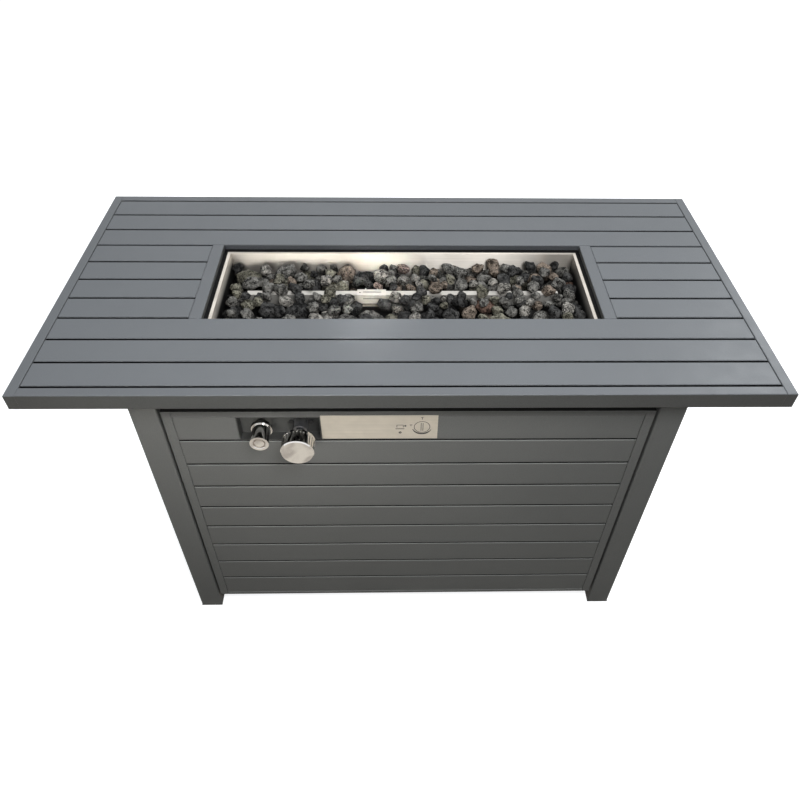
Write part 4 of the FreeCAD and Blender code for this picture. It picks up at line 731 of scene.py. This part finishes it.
def make_bed():
    """The bed of lava stones: the frame's blocks, roughened, and small stones over and between them."""
    rng = random.Random(SEED)
    names = list(STONE_KINDS)
    weights = [STONE_KINDS[name][3] for name in names]
    materials = [lava(name, *STONE_KINDS[name][:3]) for name in names]
    fine_ball = unit_ball(5)
    plain_ball = unit_ball(4)
    points = []
    faces = []
    kinds = []

    def add_stone(centre, normals, reaches, lumps, ball):
        """Add one stone, of a kind drawn by weight."""
        directions, triangles = ball
        reach = reach_of(directions, normals, reaches)
        reach = np.minimum(reach, SHARPEST * np.median(reach))
        offset = Vector((rng.random(), rng.random(), rng.random())) * NOISE_SHIFT
        start = len(points)
        points.extend(roughen(centre, directions, reach, lumps, offset))
        faces.extend((triangles + start).tolist())
        kinds.extend([rng.choices(range(len(names)), weights)[0]] * len(triangles))

    for centre, normals, reaches in blocks_of(NODES["lava_stones"]):
        add_stone(centre, normals, reaches, BLOCK_LUMPS, fine_ball)
    for x, y, height, radius in scatter(rng, bed_tree(points, faces)):
        centre = Vector((x, y, height - SETTLING * radius))
        add_stone(centre, *small_stone(rng, radius), SMALL_LUMPS, plain_ball)
    mesh = bpy.data.meshes.new("lava_bed")
    mesh.from_pydata(points, [], faces)
    for material in materials:
        mesh.materials.append(material)
    mesh.polygons.foreach_set("material_index", kinds)
    mesh.polygons.foreach_set("use_smooth", [True] * len(faces))
    mesh.update()
    bed = bpy.data.objects.new("lava_bed", mesh)
    SCENE.collection.objects.link(bed)
    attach(bed, "table")
    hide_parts("lava_stones")


# Printed marks and a painted groove shade, thin bands that lie on a face that looks to the front

MARK_HEIGHT = 0.00006
DIAL_INSET = 0.0235
DIAL_RADIUS = 0.0117
SWEEP_RADIUS = 0.0147
FINE_LINE = 0.0005
SWEEP_LINE = 0.0016
DOT_LINE = 0.0009
BUTTON_RING = 0.0082


def arc(x, z, radius, start, end, widths, steps=48):
    """Stroke along an arc in degrees, its half width running through the given widths."""
    stroke = []
    for step in range(steps + 1):
        part = step / steps
        angle = math.radians(start + (end - start) * part)
        place = part * (len(widths) - 1)
        first = min(int(place), len(widths) - 2)
        half = widths[first] + (widths[first + 1] - widths[first]) * (place - first)
        stroke.append((x + radius * math.cos(angle), z + radius * math.sin(angle), half))
    return stroke


def line(x, z, end_x, end_z, half=FINE_LINE):
    """Straight stroke of one half width."""
    return [(x, z, half), (end_x, end_z, half)]


def add_marks(name, node, body, material, strokes):
    """Closed flat bands on the front of a node."""
    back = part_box(node)[0].y
    front = back - MARK_HEIGHT
    points = []
    faces = []
    for stroke in strokes:
        last = len(stroke) - 1
        start = len(points)
        for step, (x, z, half) in enumerate(stroke):
            before = stroke[max(step - 1, 0)]
            after = stroke[min(step + 1, last)]
            along = Vector((after[0] - before[0], after[1] - before[1])).normalized()
            for side, y in ((1, front), (-1, front), (-1, back), (1, back)):
                points.append((x - side * along.y * half, y, z + side * along.x * half))
        for step in range(last):
            near = start + 4 * step
            for side in range(4):
                other = (side + 1) % 4
                faces.append((near + side, near + other, near + 4 + other, near + 4 + side))
        faces.append((start + 3, start + 2, start + 1, start))
        end = start + 4 * last
        faces.append((end, end + 1, end + 2, end + 3))
    mesh = bpy.data.meshes.new(name)
    mesh.from_pydata(points, [], faces)
    mesh.materials.append(material)
    mesh.update()
    marks = bpy.data.objects.new(name, mesh)
    SCENE.collection.objects.link(marks)
    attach(marks, body)


def make_marks():
    """A plain dial on the plate beside the knob, and a darker ring on the igniter's face, painted as the
    shade of its groove.
    """
    low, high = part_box("sign_plate")
    x = high.x - DIAL_INSET
    z = (low.z + high.z) / 2 + 0.0006
    fine = (FINE_LINE, FINE_LINE)
    dot = (DOT_LINE, DOT_LINE)
    strokes = [
        arc(x, z, DIAL_RADIUS, 0, 360, fine),
        arc(x, z, SWEEP_RADIUS, 200, 340, (FINE_LINE, SWEEP_LINE, SWEEP_LINE, FINE_LINE / 2)),
        line(x - 0.0014, z - 0.0085, x - 0.0014, z + 0.0085),
        line(x + 0.0014, z - 0.0085, x + 0.0014, z + 0.0085),
        line(x - 0.0185, z + 0.0046, x - 0.0145, z + 0.0046),
        line(x - 0.0165, z + 0.0046, x - 0.0165, z + 0.0016),
        line(x - 0.0018, z + 0.0205, x + 0.0018, z + 0.0205),
        line(x, z + 0.0205, x, z + 0.0160),
        arc(x - 0.0250, z + 0.0024, 0.0009, 0, 360, dot, 12),
        line(x - 0.0396, z - 0.0040, x - 0.0262, z - 0.0040, 0.0007),
        line(x - 0.0375, z - 0.0010, x - 0.0375, z + 0.0042),
        line(x - 0.0375, z + 0.0042, x - 0.0280, z + 0.0042),
        line(x - 0.0280, z + 0.0042, x - 0.0280, z - 0.0010),
        arc(x - 0.0326, z - 0.0122, 0.0015, 0, 360, dot, 12),
    ]
    ink = moulded("plate_ink", (0.07, 0.065, 0.06), 0.5, 0.3)
    add_marks("dial_marks", "sign_plate", "table", ink, strokes)
    low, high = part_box("igniter_button")
    middle = (low + high) / 2
    ring = arc(middle.x, middle.z, BUTTON_RING, 0, 360, fine)
    # A darker ring painted as the shade of the igniter's ring groove
    add_marks("button_ring", "igniter_button", "button",
              turned_metal("ring_groove_shade", (0.42, 0.36, 0.31), 0.4), [ring])


# Studio: pale floor, white surroundings, soft lamps

# place, target, width, depth, power in watts, colour, spread in degrees
LAMPS = {
    "back_softbox": ((0.0, 1.9, 2.6), (0.0, 0.0, 0.6), 2.4, 1.2, 13.5, (0.94, 0.97, 1.0), 180.0),
    "corner_softbox": ((1.66, 1.24, 2.08), (0.52, -0.25, 0.63), 0.6, 0.6, 16.5, (0.95, 0.98, 1.0), 180.0),
    "overhead": ((0.2, -0.9, 1.5), (0.0, 0.0, 0.6), 0.45, 0.4, 10.4, (0.97, 0.98, 1.0), 180.0),
    "front_strip": ((-0.33, -1.3, 0.82), (-0.15, 0.0, 0.56), 0.3, 0.3, 0.55, (1.0, 0.97, 0.93), 60.0),
    "left_strip": ((-0.42, -1.3, 0.84), (-0.2, 0.09, 0.62), 0.5, 0.3, 0.28, (1.0, 0.97, 0.93), 50.0),
    "back_fill": ((-0.5, 2.3, 0.5), (0.0, 0.0, 0.35), 1.8, 0.8, 14.0, (0.97, 0.98, 1.0), 180.0),
    "guard_spot": ((-0.03, -0.95, 1.12), (-0.05, -0.008, 0.6), 0.06, 0.06, 0.03, (1.0, 0.97, 0.92), 9.0),
}


def make_lamp(name, place, target, width, depth, power, colour, spread):
    """Rectangular soft light that faces its target."""
    lamp = bpy.data.lights.new(name, "AREA")
    lamp.shape = "RECTANGLE"
    lamp.size = width
    lamp.size_y = depth
    lamp.energy = power
    lamp.color = colour
    lamp.spread = math.radians(spread)
    light = bpy.data.objects.new(name, lamp)
    light.location = place
    aim = Vector(target) - Vector(place)
    light.rotation_euler = aim.to_track_quat("-Z", "Y").to_euler()
    SCENE.collection.objects.link(light)


WORLD_HORIZON = (0.06, 0.06, 0.059)
WORLD_ZENITH = (0.54, 0.575, 0.605)
FLOOR_SIZE = 24.0
FLOOR_SEEN = (0.8, 0.8, 0.8)
FLOOR_GLOW = 0.74
FLOOR_MIRRORED = (0.43, 0.395, 0.345)
FLOOR_MIRRORED_GLOW = 1.0
FLOOR_DRIFT = (0.42, 0.38, 0.38)
DRIFT_WAVES = {"Scale": 18.0, "Detail": 1.0, "Distortion": 1.5}
DRIFT_RANGE = (0.44, 0.56)
FLOOR_BOUNCE = (0.07, 0.068, 0.064)


def ray_kinds(tree):
    """1 for camera rays, and 1 for glossy and transmission rays, each as an output."""
    path = tree.nodes.new("ShaderNodeLightPath")
    mirrored = tree.nodes.new("ShaderNodeMath")
    mirrored.operation = "MAXIMUM"
    tree.links.new(path.outputs["Is Glossy Ray"], mirrored.inputs[0])
    tree.links.new(path.outputs["Is Transmission Ray"], mirrored.inputs[1])
    return path.outputs["Is Camera Ray"], mirrored.outputs[0]


def choose(tree, factor, first, second):
    """The second shader where the factor is 1, and otherwise the first."""
    mix = tree.nodes.new("ShaderNodeMixShader")
    tree.links.new(factor, mix.inputs[0])
    tree.links.new(first, mix.inputs[1])
    tree.links.new(second, mix.inputs[2])
    return mix.outputs[0]


def make_world():
    """White to the camera and in reflections, and otherwise dim at the horizon and brighter above."""
    world = bpy.data.worlds.new("studio")
    SCENE.world = world
    world.use_nodes = True
    tree = world.node_tree
    white = tree.nodes["Background"]
    white.inputs["Color"].default_value = (1, 1, 1, 1)
    soft = tree.nodes.new("ShaderNodeBackground")
    place = tree.nodes.new("ShaderNodeTexCoord")
    split = tree.nodes.new("ShaderNodeSeparateXYZ")
    ramp = tree.nodes.new("ShaderNodeValToRGB")
    ramp.color_ramp.elements[0].color = tone(WORLD_HORIZON)
    ramp.color_ramp.elements[1].color = tone(WORLD_ZENITH)
    tree.links.new(place.outputs["Generated"], split.inputs[0])
    tree.links.new(split.outputs["Z"], ramp.inputs[0])
    tree.links.new(ramp.outputs[0], soft.inputs["Color"])
    seen, mirrored = ray_kinds(tree)
    lit = choose(tree, mirrored, soft.outputs[0], white.outputs[0])
    lit = choose(tree, seen, lit, white.outputs[0])
    tree.links.new(lit, tree.nodes["World Output"].inputs["Surface"])


def floor_shader(tree, colour, glow=0.0, drift=None):
    """Matt colour, with an even glow of the same colour under it, and drifts of another tone."""
    matt = tree.nodes.new("ShaderNodeBsdfDiffuse")
    matt.inputs["Color"].default_value = tone(colour)
    if not glow:
        return matt.outputs[0]
    light = tree.nodes.new("ShaderNodeEmission")
    light.inputs["Color"].default_value = tone(colour)
    light.inputs["Strength"].default_value = glow
    if drift:
        place = tree.nodes.new("ShaderNodeTexCoord")
        waves = tree.nodes.new("ShaderNodeTexNoise")
        for key, value in DRIFT_WAVES.items():
            waves.inputs[key].default_value = value
        tree.links.new(place.outputs["Object"], waves.inputs["Vector"])
        ramp = tree.nodes.new("ShaderNodeValToRGB")
        drifted = tone(c * d for c, d in zip(colour, drift))
        for stop, position, shade in zip(ramp.color_ramp.elements, DRIFT_RANGE, (drifted, tone(colour))):
            stop.position = position
            stop.color = shade
        tree.links.new(waves.outputs[0], ramp.inputs[0])
        tree.links.new(ramp.outputs[0], light.inputs["Color"])
    both = tree.nodes.new("ShaderNodeAddShader")
    tree.links.new(matt.outputs[0], both.inputs[0])
    tree.links.new(light.outputs[0], both.inputs[1])
    return both.outputs[0]


def make_floor():
    """White floor that keeps the table's shadow, warm in reflections, and throws back little light."""
    mesh = bpy.data.meshes.new("floor")
    half = FLOOR_SIZE / 2
    mesh.from_pydata([(-half, -half, 0), (half, -half, 0), (half, half, 0), (-half, half, 0)], [],
                     [(0, 1, 2, 3)])
    floor = bpy.data.objects.new("floor", mesh)
    SCENE.collection.objects.link(floor)
    material = bpy.data.materials.new("floor")
    material.use_nodes = True
    tree = material.node_tree
    tree.nodes.remove(tree.nodes["Principled BSDF"])
    bounce = floor_shader(tree, FLOOR_BOUNCE)
    warm = floor_shader(tree, FLOOR_MIRRORED, FLOOR_MIRRORED_GLOW, FLOOR_DRIFT)
    pale = floor_shader(tree, FLOOR_SEEN, FLOOR_GLOW / FLOOR_SEEN[0])
    seen, mirrored = ray_kinds(tree)
    surface = choose(tree, mirrored, bounce, warm)
    surface = choose(tree, seen, surface, pale)
    tree.links.new(surface, tree.nodes["Material Output"].inputs["Surface"])
    mesh.materials.append(material)


make_camera()
dress_frame(make_slot_materials(), make_node_materials())
make_bed()
make_marks()
make_world()
make_floor()
for lamp_name, facts in LAMPS.items():
    make_lamp(lamp_name, *facts)
SCENE.view_settings.view_transform = "Standard"
